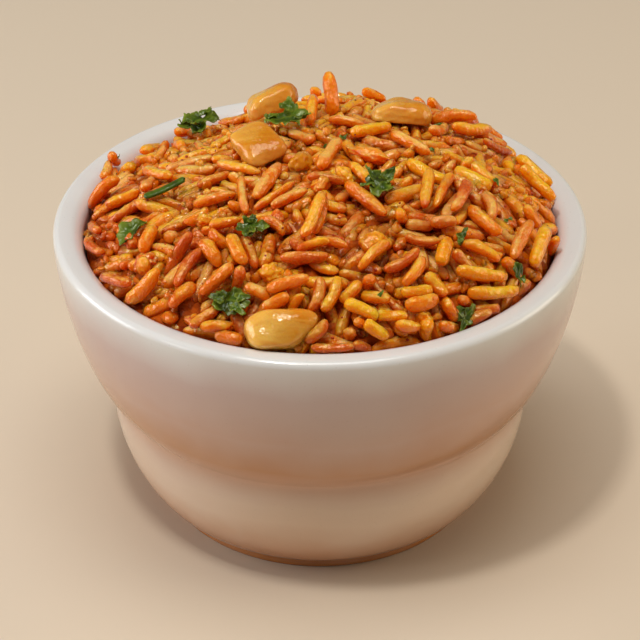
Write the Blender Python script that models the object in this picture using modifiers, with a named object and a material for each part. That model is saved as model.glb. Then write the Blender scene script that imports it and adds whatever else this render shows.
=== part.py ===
"""A thick white ceramic cup-shaped bowl heaped with seasoned orange rice.

The bowl is a turned shell: a short foot ring, a round belly that ends in a
waist crease, a flared upper wall and a thick rounded lip. The rice is one
solid: a domed core that fills the bowl, with the grains, soft lumps and small
green flakes of its surface fused on. Four pieces of cooked onion and ten
pieces of parsley and chive lie on it as solids of their own.
All lengths are in metres, +Z is up and the foot stands on Z = 0.
"""

import math
import random

import bmesh
import bpy
from mathutils import Matrix, Vector
from mathutils.bvhtree import BVHTree

MM = 0.001

# Bowl, outside
RIM_RADIUS = 48.95 * MM
BOWL_HEIGHT = 58.0 * MM
FOOT_RADIUS = 30.2 * MM
FOOT_EDGE = 0.5 * MM
FOOT_TOP = 1.7 * MM
FOOT_NECK_RADIUS = 29.6 * MM
FOOT_INNER_RADIUS = 25.6 * MM
RECESS_DEPTH = 2.0 * MM
RECESS_CORNER = 0.8 * MM
BELLY_RADIUS = 39.25 * MM
BELLY_TOP = 20.4 * MM
BELLY_POWER = 1.58
WAIST_RADIUS = 38.4 * MM
WAIST_HEIGHT = 25.2 * MM
WAIST_SLOPE = 1.5
FLARE_POWER = 1.58
CREASE_SOFTNESS = 0.35 * MM
BELLY_STATIONS = (2.3, 3.8, 6.6, 10.4, 15.0, 20.0, 24.0, 25.3)
FLARE_STATIONS = (26.2, 27.6, 30.6, 35.6, 42.4, 50.0)

# Bowl, lip and inside
LIP_OUTER_FILLET = 1.25 * MM
LIP_INNER_FILLET = 2.6 * MM
LIP_TOP_DROP = 0.15 * MM
FLARE_TOP = BOWL_HEIGHT - LIP_OUTER_FILLET
WALL_TOP = BOWL_HEIGHT - LIP_TOP_DROP - LIP_INNER_FILLET
WALL_RADIUS = 43.5 * MM
FLOOR_HEIGHT = 7.0 * MM
INSIDE_POWER = 2.1
INSIDE_STATIONS = (7.6, 11.0, 18.0, 28.0, 41.0)
BOWL_STEPS = 48

# Rice, the domed core
GAP = 0.3 * MM
FACET_ALLOWANCE = 0.1 * MM
HEAP_RADIUS = 43.2 * MM
HEAP_EDGE = 57.4 * MM
HEAP_RISE = 15.2 * MM
HEAP_POWER_IN = 2.3
HEAP_POWER_OUT = 0.75
CREST_X = 12.0 * MM
DIP_DEPTH = 3.0 * MM
DIP_X = -24.0 * MM
DIP_Y = 26.0 * MM
DIP_SPREAD = 11.0 * MM
CORE_SINK = 1.9 * MM
SEAT_RISE = 1.45 * MM
SEAT_MARGIN = 1.6 * MM
RELIEF = 0.45 * MM
RELIEF_WAVE = 13.0 * MM
RELIEF_PHASES = (1.1, -0.4)
RELIEF_STRETCH = 0.9
EDGE_FADE = 8
RING_CROWDING = 0.8
CORE_SEGMENTS = 32
CORE_RINGS = 11
SLOPE_STEP = 0.4 * MM

# Rice, the grains
GRAIN_LENGTH = (7.6 * MM, 10.2 * MM)
GRAIN_WIDTH = (2.35 * MM, 2.95 * MM)
GRAIN_SIDES = 5
GRAIN_SHOULDER = 0.36
GRAIN_BEND = 0.05
GRAINS = 345
GRAIN_TRIALS = 34
FREE_TRIALS = 12
TURN_STEP = 67.0
WALL_SWING = 14.0
SHORTEN_STEP = 0.05
CANDIDATES = 40
GRAIN_DEPTH = 1.05 * MM
DEPTH_SPREAD = 0.55 * MM
TILT_SPREAD = 13.0
STEEP_SHARE = 0.12
STEEP_TILT = (28.0, 55.0)
STEEP_LIFT = 0.4 * MM
INWARD_STEP = 0.35 * MM
LEAD_LENGTH = 9.0 * MM
LEAD_WIDTH = 2.7 * MM
LEAD_BEND = 0.03
LEAD_STEP = 0.4 * MM
LEAD_TRIALS = 8
EDGE_MARGIN = 0.9 * MM
SEED = 27
HEAP_TRIANGLES = 9500

# Toppings
TOPPING_CLEAR = GAP + 0.12 * MM
WALL_CLEAR = GAP + FACET_ALLOWANCE + 0.1 * MM
PROBE_RISE = 8.0 * MM
PROBE_REACH = 25.0 * MM
LEAF_THICKNESS = 0.5 * MM
LEAF_RINGS = 2
LEAF_POINTS = 12
LEAF_DOME = 0.25 * MM
STRIP_ROWS = 6
STRIP_TAPER = 0.25
STRIP_CAMBER = 0.25 * MM
ONION_RINGS = 7
ONION_POINTS = 12
ONION_SINK = 1.0 * MM
ONION_BEND = 0.9 * MM
ONION_SKEW = 0.10
ONION_WOBBLE = 0.05
LUMP_SINK = 0.7 * MM
LUMP_ROUNDNESS = 0.85
FLAKE_SINK = 0.9 * MM
FLAKE_HALF_HEIGHT = 1.3 * MM
FLAKE_ROUNDNESS = 0.6

# Onion pieces: name, x, y, length, width, height (mm), turn, lean (degrees), lift (mm),
# roundness, rise of the seat under it (mm)
ONIONS = (
    ("onion_front", -6.6, -41.0, 12.8, 7.6, 5.8, 3.0, 8.0, 1.2, 0.80, 0.0),
    ("onion_left", -11.2, 2.6, 10.4, 8.6, 4.2, 118.0, -22.0, 1.7, 0.62, 0.6),
    ("onion_crown_left", -8.6, 21.0, 11.4, 7.6, 5.6, 14.0, -8.0, 3.4, 0.74, 2.4),
    ("onion_crown_right", 15.2, 15.8, 11.8, 8.0, 4.6, -12.0, -6.0, 1.3, 0.70, 0.3),
)

# Leaf pieces: name, x, y, length, width (mm), turn (degrees), lobes, lobe depth, curl,
# rise of the far side (mm)
LEAVES = (
    ("parsley_back_left", -22.4, 26.4, 8.4, 6.6, 10.0, 3, 0.24, 1.2, 4.2),
    ("parsley_crown", -5.8, 11.8, 9.6, 6.6, 8.0, 4, 0.24, 0.9, 1.8),
    ("parsley_left", -33.4, -14.0, 6.4, 5.4, 35.0, 2, 0.16, 0.6, 0.0),
    ("parsley_mid_left", -11.9, -22.0, 6.6, 5.0, -12.0, 4, 0.26, 0.7, 0.4),
    ("parsley_front_left", -15.2, -35.4, 7.8, 5.6, -25.0, 4, 0.26, 0.8, 0.4),
    ("parsley_right", 10.6, -13.3, 7.0, 6.8, 60.0, 3, 0.24, 0.8, 0.6),
    ("parsley_front_right", 24.9, -34.6, 5.8, 4.0, 75.0, 3, 0.22, 0.7, 0.0),
)

# Strips: name, x, y, length, width (mm), turn (degrees), curl (mm)
STRIPS = (
    ("chive_left", -27.7, -5.6, 8.2, 1.8, 12.0, 0.5),
    ("parsley_strip_right", 24.4, -22.6, 5.0, 2.0, 70.0, 0.6),
    ("parsley_rim_right", 34.4, -23.4, 5.4, 2.6, -62.0, 0.5),
)

# Soft lumps fused to the heap: x, y, length, width, height (mm), turn (degrees)
LUMPS = (
    (9.5, -26.2, 5.2, 4.6, 4.0, 20.0),
    (-8.4, -31.3, 4.4, 4.0, 3.6, -30.0),
    (-3.6, -3.0, 5.0, 4.2, 3.2, 40.0),
    (8.7, -1.6, 8.4, 3.4, 2.6, -24.0),
    (-31.0, -22.0, 4.6, 4.0, 3.4, 10.0),
)

# Small green flakes fused to the heap: x, y, length, width (mm), turn (degrees)
FLAKES = (
    (33.3, -14.2, 2.8, 2.2, 40.0),
    (7.1, -32.2, 3.2, 2.4, 10.0),
    (31.7, -5.1, 2.2, 1.4, -50.0),
    (4.3, 4.0, 2.4, 1.8, 30.0),
    (12.3, 10.6, 3.6, 1.6, 5.0),
    (22.3, 10.8, 3.6, 1.4, 15.0),
    (20.5, -0.2, 2.6, 2.0, -20.0),
    (5.2, -9.6, 3.4, 1.9, 95.0),
    (10.3, -35.8, 2.0, 1.4, 60.0),
)

# Grains set by hand where they shape the outline: x, y (mm), turn, tilt (degrees), lift (mm)
LEADING_GRAINS = (
    (2.2, 21.0, 95.0, 62.0, 2.0),
    (-41.2, 6.0, 170.0, 14.0, 0.9),
    (39.6, 3.4, -20.0, 6.0, 0.7),
    (39.2, 8.4, -28.0, 10.0, 0.8),
    (-30.9, -28.2, 24.0, 2.0, 0.9),
    (-1.6, 16.4, 80.0, 24.0, 0.5),
    (24.6, 15.0, -16.0, 20.0, 1.0),
    (28.0, 13.5, 25.0, 8.0, 0.7),
)


def belly_radius(height):
    """Radius of the lower body, a squat rounded quarter from the foot up to the belly's top."""
    if height >= BELLY_TOP:
        return BELLY_RADIUS
    drop = min(1.0, (BELLY_TOP - height) / (BELLY_TOP - FOOT_TOP))
    return FOOT_NECK_RADIUS + (BELLY_RADIUS - FOOT_NECK_RADIUS) * (
        1.0 - drop**BELLY_POWER
    ) ** (1.0 / BELLY_POWER)


def flare_radius(height):
    """Radius of the upper body, from the waist crease out to the rim."""
    if height <= WAIST_HEIGHT:
        return WAIST_RADIUS - WAIST_SLOPE * (WAIST_HEIGHT - height)
    drop = max(0.0, (FLARE_TOP - height) / (FLARE_TOP - WAIST_HEIGHT))
    return WAIST_RADIUS + (RIM_RADIUS - WAIST_RADIUS) * (1.0 - drop**FLARE_POWER) ** (
        1.0 / FLARE_POWER
    )


def outer_radius(height):
    """The larger of belly and flare, eased into each other at the crease."""
    belly, flare = belly_radius(height), flare_radius(height)
    half = 0.5 * (belly - flare)
    return 0.5 * (belly + flare) + math.sqrt(half * half + CREASE_SOFTNESS**2)


def inner_radius(height):
    """Radius of the inside, a smooth rounded bowl that hides the waist crease."""
    drop = min(1.0, max(0.0, (WALL_TOP - height) / (WALL_TOP - FLOOR_HEIGHT)))
    return WALL_RADIUS * (1.0 - drop**INSIDE_POWER) ** (1.0 / INSIDE_POWER)


def room_radius(height, clear):
    """Largest radius at this height that stays this far inside the wall and the lip."""
    if height <= WALL_TOP:
        return inner_radius(height) - clear
    drop = (LIP_INNER_FILLET + clear) ** 2 - (height - WALL_TOP) ** 2
    if drop <= 0.0:
        return RIM_RADIUS
    return WALL_RADIUS + LIP_INNER_FILLET - math.sqrt(drop)


def arc(centre, radius, start, end, count):
    """Points of a circular arc in the (radius, height) half plane, angles in degrees."""
    points = []
    for step in range(count):
        angle = math.radians(start + (end - start) * step / (count - 1))
        points.append(
            (
                centre[0] + radius * math.cos(angle),
                centre[1] + radius * math.sin(angle),
            )
        )
    return points


def inside_section():
    """The bowl's inside from the floor's middle up to the lip's inner edge."""
    points = [(0.0, FLOOR_HEIGHT)]
    points += [(inner_radius(z * MM), z * MM) for z in INSIDE_STATIONS]
    centre = (WALL_RADIUS + LIP_INNER_FILLET, WALL_TOP)
    return points + arc(centre, LIP_INNER_FILLET, 180.0, 96.0, 4)


def bowl_section():
    """The whole section: up the inside, over the lip, down the outside, under the foot."""
    points = inside_section()
    centre = (RIM_RADIUS - LIP_OUTER_FILLET, BOWL_HEIGHT - LIP_OUTER_FILLET)
    points += arc(centre, LIP_OUTER_FILLET, 90.0, 0.0, 4)
    points += [
        (outer_radius(z * MM), z * MM)
        for z in sorted(BELLY_STATIONS + FLARE_STATIONS, reverse=True)
    ]
    points += [
        (FOOT_NECK_RADIUS, FOOT_TOP),
        (FOOT_RADIUS, FOOT_EDGE),
        (FOOT_RADIUS - FOOT_EDGE, 0.0),
        (FOOT_INNER_RADIUS + FOOT_EDGE, 0.0),
        (FOOT_INNER_RADIUS, FOOT_EDGE),
        (FOOT_INNER_RADIUS - RECESS_CORNER, RECESS_DEPTH),
        (0.0, RECESS_DEPTH),
    ]
    return points


def heap_parameter(x, y):
    """How far (x, y) lies from the heap's crest towards the wall: 0 at the crest, 1 at the wall."""
    across = x - CREST_X
    scale = HEAP_RADIUS**2 - CREST_X**2
    along = across * CREST_X
    return (along + math.sqrt(along * along + scale * (across * across + y * y))) / scale


def heap_height(x, y):
    """Mean height of the grain tops over the point (x, y)."""
    share = min(1.0, heap_parameter(x, y))
    dome = HEAP_RISE * max(0.0, 1.0 - share**HEAP_POWER_IN) ** HEAP_POWER_OUT
    dip = DIP_DEPTH * math.exp(
        -((x - DIP_X) ** 2 + (y - DIP_Y) ** 2) / (2.0 * DIP_SPREAD**2)
    )
    return HEAP_EDGE + dome - dip


def seat_places():
    """Where pieces lie: x, y, and the radius and rise of the raised seat under each."""
    for row in LEAVES + STRIPS:
        yield row[1] * MM, row[2] * MM, 0.5 * row[3] * MM + SEAT_MARGIN, SEAT_RISE
    for row in ONIONS:
        yield row[1] * MM, row[2] * MM, 0.5 * row[3] * MM + SEAT_MARGIN, row[10] * MM


def core_height(x, y):
    """Height of the bare core: under the grain tops, raised where a leaf piece lies."""
    seat = 0.0
    for seat_x, seat_y, spread, rise in seat_places():
        away = ((x - seat_x) ** 2 + (y - seat_y) ** 2) / spread**2
        seat = max(seat, rise * math.exp(-(away**2)))
    turn = 2.0 * math.pi / RELIEF_WAVE
    wave = math.sin(turn * x + RELIEF_PHASES[0]) * math.cos(
        turn * RELIEF_STRETCH * y + RELIEF_PHASES[1]
    )
    edge = 1.0 - min(1.0, heap_parameter(x, y)) ** EDGE_FADE
    return heap_height(x, y) - CORE_SINK + edge * (seat + RELIEF * wave)


def surface_frame(x, y):
    """Point and outward normal of the heap's surface over (x, y)."""
    step = SLOPE_STEP
    slope_x = (heap_height(x + step, y) - heap_height(x - step, y)) / (2.0 * step)
    slope_y = (heap_height(x, y + step) - heap_height(x, y - step)) / (2.0 * step)
    normal = Vector((-slope_x, -slope_y, 1.0)).normalized()
    return Vector((x, y, heap_height(x, y))), normal


def tangent_axes(normal, turn):
    """Two axes in the surface, the first turned by this many degrees from +X."""
    along = Vector((math.cos(math.radians(turn)), math.sin(math.radians(turn)), 0.0))
    along = (along - normal * along.dot(normal)).normalized()
    return along, normal.cross(along)


def mesh_object(name, bm, collection):
    """A mesh object from finished geometry, linked to the collection."""
    mesh = bpy.data.meshes.new(name)
    bm.normal_update()
    bm.to_mesh(mesh)
    bm.free()
    obj = bpy.data.objects.new(name, mesh)
    collection.objects.link(obj)
    return obj


def principled(name, colour, roughness, metallic=0.0):
    """A plain material with this colour, roughness and metallic value."""
    material = bpy.data.materials.new(name)
    material.use_nodes = True
    shader = material.node_tree.nodes["Principled BSDF"]
    shader.inputs["Base Color"].default_value = (*colour, 1.0)
    shader.inputs["Roughness"].default_value = roughness
    shader.inputs["Metallic"].default_value = metallic
    return material


def smooth(obj, degrees):
    """Round surfaces shaded smooth, with edges sharper than this kept crisp."""
    obj.data.shade_smooth()
    obj.data.set_sharp_from_angle(angle=math.radians(degrees))


def make_bowl(collection):
    """The turned ceramic bowl."""
    bm = bmesh.new()
    verts = [bm.verts.new((radius, 0.0, height)) for radius, height in bowl_section()]
    for first, second in zip(verts, verts[1:]):
        bm.edges.new((first, second))
    bowl = mesh_object("bowl", bm, collection)
    screw = bowl.modifiers.new("turned", "SCREW")
    screw.axis = "Z"
    screw.steps = BOWL_STEPS
    screw.render_steps = BOWL_STEPS
    screw.use_merge_vertices = True
    screw.merge_threshold = 0.00001
    screw.use_normal_calculate = True
    screw.use_smooth_shade = True
    return bowl


def ring_surface(rings, bottom, top):
    """Geometry closed between a bottom pole and a top pole over rings of equal count."""
    bm = bmesh.new()
    low, high = bm.verts.new(bottom), bm.verts.new(top)
    rows = [[bm.verts.new(point) for point in ring] for ring in rings]
    count = len(rows[0])
    for i in range(count):
        j = (i + 1) % count
        bm.faces.new((low, rows[0][j], rows[0][i]))
        bm.faces.new((high, rows[-1][i], rows[-1][j]))
        for lower, upper in zip(rows, rows[1:]):
            bm.faces.new((lower[i], lower[j], upper[j]))
            bm.faces.new((lower[i], upper[j], upper[i]))
    return bm


def wall_rings():
    """Rings of the core against the bowl, kept clear of the inside's facets."""
    section = [point for point in inside_section() if point[1] < WALL_TOP]
    clear = GAP + FACET_ALLOWANCE
    rings = []
    for before, here, after in zip(section, section[1:], section[2:] + [(WALL_RADIUS, WALL_TOP)]):
        run, rise = after[0] - before[0], after[1] - before[1]
        length = math.hypot(run, rise)
        radius = here[0] - clear * rise / length
        height = here[1] + clear * run / length
        rings.append(circle(radius, height))
    return rings


def circle(radius, height):
    """Points of a level circle round the axis, as many as the core has segments."""
    points = []
    for i in range(CORE_SEGMENTS):
        angle = 2.0 * math.pi * i / CORE_SEGMENTS
        points.append((radius * math.cos(angle), radius * math.sin(angle), height))
    return points


def make_core(collection):
    """The bare rice core: it fills the bowl and rises in an uneven dome."""
    rings = wall_rings()
    edge_radius = WALL_RADIUS - GAP - FACET_ALLOWANCE
    for step in range(CORE_RINGS, 0, -1):
        share = (step / CORE_RINGS) ** RING_CROWDING
        ring = []
        for i in range(CORE_SEGMENTS):
            angle = 2.0 * math.pi * i / CORE_SEGMENTS
            x = edge_radius * share * math.cos(angle) + CREST_X * (1.0 - share)
            y = edge_radius * share * math.sin(angle)
            ring.append((x, y, core_height(x, y)))
        rings.append(ring)
    bottom = (0.0, 0.0, FLOOR_HEIGHT + GAP + FACET_ALLOWANCE)
    top = (CREST_X, 0.0, core_height(CREST_X, 0.0))
    return mesh_object("rice_heap", ring_surface(rings, bottom, top), collection)


class Surroundings:
    """The bare core that toppings rest on, and the toppings that grains keep clear of."""

    def __init__(self, core):
        self.tree = BVHTree.FromPolygons(
            [v.co.copy() for v in core.data.vertices],
            [tuple(p.vertices) for p in core.data.polygons],
        )
        self.points = []

    def add(self, obj):
        """Keep the corners, edge middles and face middles of a topping."""
        mesh = obj.data
        places = [v.co.copy() for v in mesh.vertices]
        places += [
            0.5 * (mesh.vertices[e.vertices[0]].co + mesh.vertices[e.vertices[1]].co)
            for e in mesh.edges
        ]
        places += [p.center.copy() for p in mesh.polygons]
        centre = sum(places, Vector()) / len(places)
        reach = max((place - centre).length for place in places)
        self.points.append((centre, reach, places))

    def floor_under(self, point, normal):
        """Where a line down the normal meets the bare core, or None beside it."""
        return self.tree.ray_cast(point + normal * PROBE_RISE, -normal, PROBE_REACH)[0]

    def clear(self, axis, radius):
        """True where a round piece along this axis misses the bowl and every topping."""
        for point in axis:
            if math.hypot(point.x, point.y) > room_radius(point.z, radius + GAP + FACET_ALLOWANCE):
                return False
        middle = axis[len(axis) // 2]
        half = max((point - middle).length for point in axis)
        for centre, reach, places in self.points:
            if (centre - middle).length > reach + half + radius + GAP:
                continue
            for place in places:
                if any((place - point).length < radius + GAP for point in axis):
                    return False
        return True


def grain_axis(centre, along, side, length, bend, count=7):
    """Points along a slightly bowed grain."""
    points = []
    for i in range(count):
        share = 2.0 * i / (count - 1) - 1.0
        points.append(
            centre + along * (0.5 * length * share) + side * (bend * length * share * share)
        )
    return points


def grain_geometry(centre, along, side, length, width, bend):
    """A bowed grain of few sides: two shoulders and two ends."""
    over = along.cross(side)
    rings = []
    for share in (-GRAIN_SHOULDER, GRAIN_SHOULDER):
        middle = centre + along * (length * share) + side * (bend * length * 4.0 * share * share)
        ring = []
        for i in range(GRAIN_SIDES):
            angle = 2.0 * math.pi * i / GRAIN_SIDES
            ring.append(
                middle
                + side * (0.5 * width * math.cos(angle))
                + over * (0.47 * width * math.sin(angle))
            )
        rings.append(ring)
    low = centre - along * (0.5 * length) + side * (bend * length)
    high = centre + along * (0.5 * length) + side * (bend * length)
    return ring_surface(rings, low, high)


def blob_geometry(centre, axes, half, roundness, rings, points, wobble=0.0):
    """A soft block: a sphere pushed out towards a box, with uneven sides."""

    def pushed(value):
        return math.copysign(abs(value) ** roundness, value)

    along, side, up = axes

    def place(level, angle):
        ring = math.cos(level)
        uneven = 1.0 + wobble * math.sin(3.0 * angle + 2.0 * level)
        return (
            centre
            + along * (half[0] * pushed(ring) * pushed(math.cos(angle)) * uneven)
            + side * (half[1] * pushed(ring) * pushed(math.sin(angle)) * uneven)
            + up * (half[2] * pushed(math.sin(level)))
        )

    rows = []
    for i in range(1, rings):
        level = -0.5 * math.pi + math.pi * i / rings
        rows.append([place(level, 2.0 * math.pi * j / points) for j in range(points)])
    return ring_surface(rows, centre - up * half[2], centre + up * half[2])


def raise_over_core(bm, surroundings, normal, clear):
    """Lift every corner that lies lower than this above the bare core, along the normal."""
    for vert in bm.verts:
        floor = surroundings.floor_under(vert.co, normal)
        if floor is None:
            continue
        short = clear - (vert.co - floor).dot(normal)
        if short > 0.0:
            vert.co += normal * short


def draw_in(bm):
    """Move every corner that comes too near the wall or the lip straight in."""
    for vert in bm.verts:
        away = math.hypot(vert.co.x, vert.co.y)
        room = room_radius(vert.co.z, WALL_CLEAR)
        if away > room:
            vert.co.x *= room / away
            vert.co.y *= room / away


def make_onion(row, surroundings, collection):
    """A piece of cooked onion: a soft bent slab that rests on the core."""
    name, x, y, length, width, height, turn, lean, lift, roundness, _ = row
    point, normal = surface_frame(x * MM, y * MM)
    along, side = tangent_axes(normal, turn)
    tip = Matrix.Rotation(math.radians(lean), 3, side)
    along, up = tip @ along, tip @ normal
    half = (0.5 * length * MM, 0.5 * width * MM, 0.5 * height * MM)
    centre = point + normal * (lift * MM - ONION_SINK)
    bm = blob_geometry(
        centre, (along, side, up), half, roundness, ONION_RINGS, ONION_POINTS, ONION_WOBBLE
    )
    for vert in bm.verts:
        offset = (vert.co - centre).dot(along) / half[0]
        vert.co -= up * (ONION_BEND * offset * offset)
        vert.co += side * (ONION_SKEW * half[1] * offset)
    raise_over_core(bm, surroundings, normal, TOPPING_CLEAR)
    draw_in(bm)
    return mesh_object(name, bm, collection)


def two_faced(bm_rows, poles, normals, thickness):
    """A thin sheet closed round its edge, its two faces split alike."""
    bm = bmesh.new()
    lower, upper = [], []
    for row, normal_row in zip(bm_rows, normals):
        lower.append([bm.verts.new(p) for p in row])
        upper.append([bm.verts.new(p + n * thickness) for p, n in zip(row, normal_row)])
    if poles is not None:
        low = bm.verts.new(poles[0])
        high = bm.verts.new(poles[0] + poles[1] * thickness)
        count = len(lower[0])
        for i in range(count):
            j = (i + 1) % count
            bm.faces.new((low, lower[0][j], lower[0][i]))
            bm.faces.new((high, upper[0][i], upper[0][j]))
            for ring in range(len(lower) - 1):
                quad_pair(bm, lower, ring, i, j, False)
                quad_pair(bm, upper, ring, i, j, True)
            rim(bm, lower[-1], upper[-1], i, j)
        return bm
    count = len(lower[0])
    for ring in range(len(lower) - 1):
        for i in range(count - 1):
            quad_pair(bm, lower, ring, i, i + 1, False)
            quad_pair(bm, upper, ring, i, i + 1, True)
        rim(bm, [row[0] for row in lower], [row[0] for row in upper], ring + 1, ring)
        rim(bm, [row[-1] for row in lower], [row[-1] for row in upper], ring, ring + 1)
    for i in range(count - 1):
        rim(bm, lower[0], upper[0], i, i + 1)
        rim(bm, lower[-1], upper[-1], i + 1, i)
    bmesh.ops.recalc_face_normals(bm, faces=bm.faces)
    return bm


def quad_pair(bm, rows, ring, i, j, facing_up):
    """Two triangles between two neighbouring rows."""
    a, b, c, d = rows[ring][i], rows[ring][j], rows[ring + 1][j], rows[ring + 1][i]
    if facing_up:
        bm.faces.new((a, d, c))
        bm.faces.new((a, c, b))
    else:
        bm.faces.new((a, c, d))
        bm.faces.new((a, b, c))


def rim(bm, lower, upper, i, j):
    """Two triangles that close the edge between the sheet's faces."""
    bm.faces.new((lower[i], lower[j], upper[j]))
    bm.faces.new((lower[i], upper[j], upper[i]))


def laid_point(surroundings, point, normal, lift):
    """A point of a leaf: on the bare core under it, raised along the normal."""
    floor = surroundings.floor_under(point, normal)
    return (point if floor is None else floor) + normal * (TOPPING_CLEAR + lift)


def make_leaf(row, surroundings, collection):
    """A thin wavy parsley leaf with a lobed outline, its edge curled up."""
    name, x, y, length, width, turn, lobes, depth, curl, rise = row
    point, normal = surface_frame(x * MM, y * MM)
    along, side = tangent_axes(normal, turn)
    rings = []
    for ring in range(1, LEAF_RINGS + 1):
        share = ring / LEAF_RINGS
        row_points = []
        for i in range(LEAF_POINTS):
            angle = 2.0 * math.pi * i / LEAF_POINTS
            lobe = 1.0 + depth * share * (
                0.6 * math.cos(lobes * angle + turn) + 0.4 * math.cos((lobes + 3) * angle - turn)
            )
            flat = (
                point
                + along * (0.5 * length * MM * share * lobe * math.cos(angle))
                + side * (0.5 * width * MM * share * lobe * math.sin(angle))
            )
            wave = 0.5 + 0.5 * math.sin(2.0 * angle + 0.15 * turn)
            lift = curl * MM * share * share * (0.35 + 0.65 * wave)
            lift += rise * MM * (0.5 + 0.5 * share * math.sin(angle))
            row_points.append(laid_point(surroundings, flat, normal, lift))
        rings.append(row_points)
    centre = laid_point(surroundings, point, normal, LEAF_DOME + 0.5 * rise * MM)
    normals = [[normal] * LEAF_POINTS for _ in rings]
    bm = two_faced(rings, (centre, normal), normals, LEAF_THICKNESS)
    draw_in(bm)
    return mesh_object(name, bm, collection)


def make_strip(row, surroundings, collection):
    """A thin strip of leaf or chive, bowed along its length."""
    name, x, y, length, width, turn, curl = row
    point, normal = surface_frame(x * MM, y * MM)
    along, side = tangent_axes(normal, turn)
    rows = []
    for i in range(STRIP_ROWS):
        share = 2.0 * i / (STRIP_ROWS - 1) - 1.0
        taper = 1.0 - STRIP_TAPER * share * share
        row_points = []
        for across in (-0.5, 0.0, 0.5):
            flat = (
                point
                + along * (0.5 * length * MM * share)
                + side * (width * MM * across * taper)
            )
            lift = curl * MM * share * share + STRIP_CAMBER * (1.0 - 4.0 * across * across)
            row_points.append(laid_point(surroundings, flat, normal, lift))
        rows.append(row_points)
    normals = [[normal] * 3 for _ in rows]
    bm = two_faced(rows, None, normals, LEAF_THICKNESS)
    draw_in(bm)
    return mesh_object(name, bm, collection)


def grain_places(rng):
    """Evenly spread places on the heap: each is the farthest of several draws from the rest."""
    chosen = []
    while len(chosen) < GRAINS:
        best, best_gap = None, -1.0
        for _ in range(CANDIDATES):
            angle = rng.uniform(0.0, 2.0 * math.pi)
            away = (HEAP_RADIUS - EDGE_MARGIN) * math.sqrt(rng.random())
            x, y = away * math.cos(angle), away * math.sin(angle)
            point, normal = surface_frame(x, y)
            gap = min(((point - other).length for other, _ in chosen), default=1.0)
            if gap > best_gap:
                best, best_gap = (point, normal), gap
        chosen.append(best)
    return chosen


def try_grain(point, normal, turn, tilt, lift, length, width, bend, surroundings):
    """The grain's geometry at this place, or None where it would cross a neighbour."""
    along, side = tangent_axes(normal, turn)
    along = (
        along * math.cos(math.radians(tilt)) + normal * math.sin(math.radians(tilt))
    ).normalized()
    centre = point + normal * lift
    axis = grain_axis(centre, along, side, length - 0.8 * width, bend)
    if not surroundings.clear(axis, 0.5 * width):
        return None
    return grain_geometry(centre, along, side, length, width, bend)


def make_grains(surroundings, collection):
    """The grains that show, each turned, then moved in, then shortened until it lies clear."""
    rng = random.Random(SEED)
    made = []
    for x, y, turn, tilt, lift in LEADING_GRAINS:
        point, normal = surface_frame(x * MM, y * MM)
        inward = Vector((-point.x, -point.y, 0.0)).normalized()
        for trial in range(LEAD_TRIALS):
            bm = try_grain(
                point + inward * (LEAD_STEP * trial),
                normal,
                turn,
                tilt,
                lift * MM,
                LEAD_LENGTH,
                LEAD_WIDTH,
                LEAD_BEND,
                surroundings,
            )
            if bm is not None:
                made.append(mesh_object(f"grain_lead_{len(made)}", bm, collection))
                break
    for point, normal in grain_places(rng):
        length = rng.uniform(*GRAIN_LENGTH)
        width = rng.uniform(*GRAIN_WIDTH)
        bend = rng.uniform(-GRAIN_BEND, GRAIN_BEND)
        turn = rng.uniform(0.0, 180.0)
        tilt = rng.gauss(0.0, TILT_SPREAD)
        lift = -GRAIN_DEPTH + rng.gauss(0.0, DEPTH_SPREAD)
        if rng.random() < STEEP_SHARE:
            tilt = rng.uniform(*STEEP_TILT)
            lift += STEEP_LIFT
        inward = Vector((-point.x, -point.y, 0.0)).normalized()
        round_wall = math.degrees(math.atan2(point.y, point.x)) + 90.0
        for trial in range(GRAIN_TRIALS):
            late = max(0, trial - FREE_TRIALS)
            bm = try_grain(
                point + inward * (INWARD_STEP * (late // 3 if late else trial // 3)),
                normal,
                round_wall + WALL_SWING * (trial % 3 - 1) if late else turn + TURN_STEP * trial,
                0.3 * tilt if late else tilt,
                lift,
                length * (1.0 - SHORTEN_STEP * (late // 3)),
                width,
                bend,
                surroundings,
            )
            if bm is not None:
                made.append(mesh_object(f"grain_{len(made)}", bm, collection))
                break
    return made


def make_lumps(surroundings, collection):
    """Soft lumps and small flakes that are fused to the heap."""
    made = []
    for x, y, length, width, height, turn in LUMPS:
        point, normal = surface_frame(x * MM, y * MM)
        along, side = tangent_axes(normal, turn)
        half = (0.5 * length * MM, 0.5 * width * MM, 0.5 * height * MM)
        centre = point - normal * LUMP_SINK
        if not surroundings.clear(grain_axis(centre, along, side, half[0] - half[1], 0.0), half[1]):
            continue
        bm = blob_geometry(centre, (along, side, normal), half, LUMP_ROUNDNESS, 4, 6)
        made.append(mesh_object(f"lump_{len(made)}", bm, collection))
    for x, y, length, width, turn in FLAKES:
        point, normal = surface_frame(x * MM, y * MM)
        along, side = tangent_axes(normal, turn)
        half = (0.5 * length * MM, 0.5 * width * MM, FLAKE_HALF_HEIGHT)
        centre = point - normal * FLAKE_SINK
        if not surroundings.clear([centre], half[0]):
            continue
        bm = blob_geometry(centre, (along, side, normal), half, FLAKE_ROUNDNESS, 2, 6)
        made.append(mesh_object(f"flake_{len(made)}", bm, collection))
    return made


def signed_volume(faces):
    """Volume enclosed by triangles, below zero for the wall of a sealed hollow."""
    total = 0.0
    for face in faces:
        a, b, c = (vert.co for vert in face.verts)
        total += a.dot(b.cross(c)) / 6.0
    return total


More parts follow.
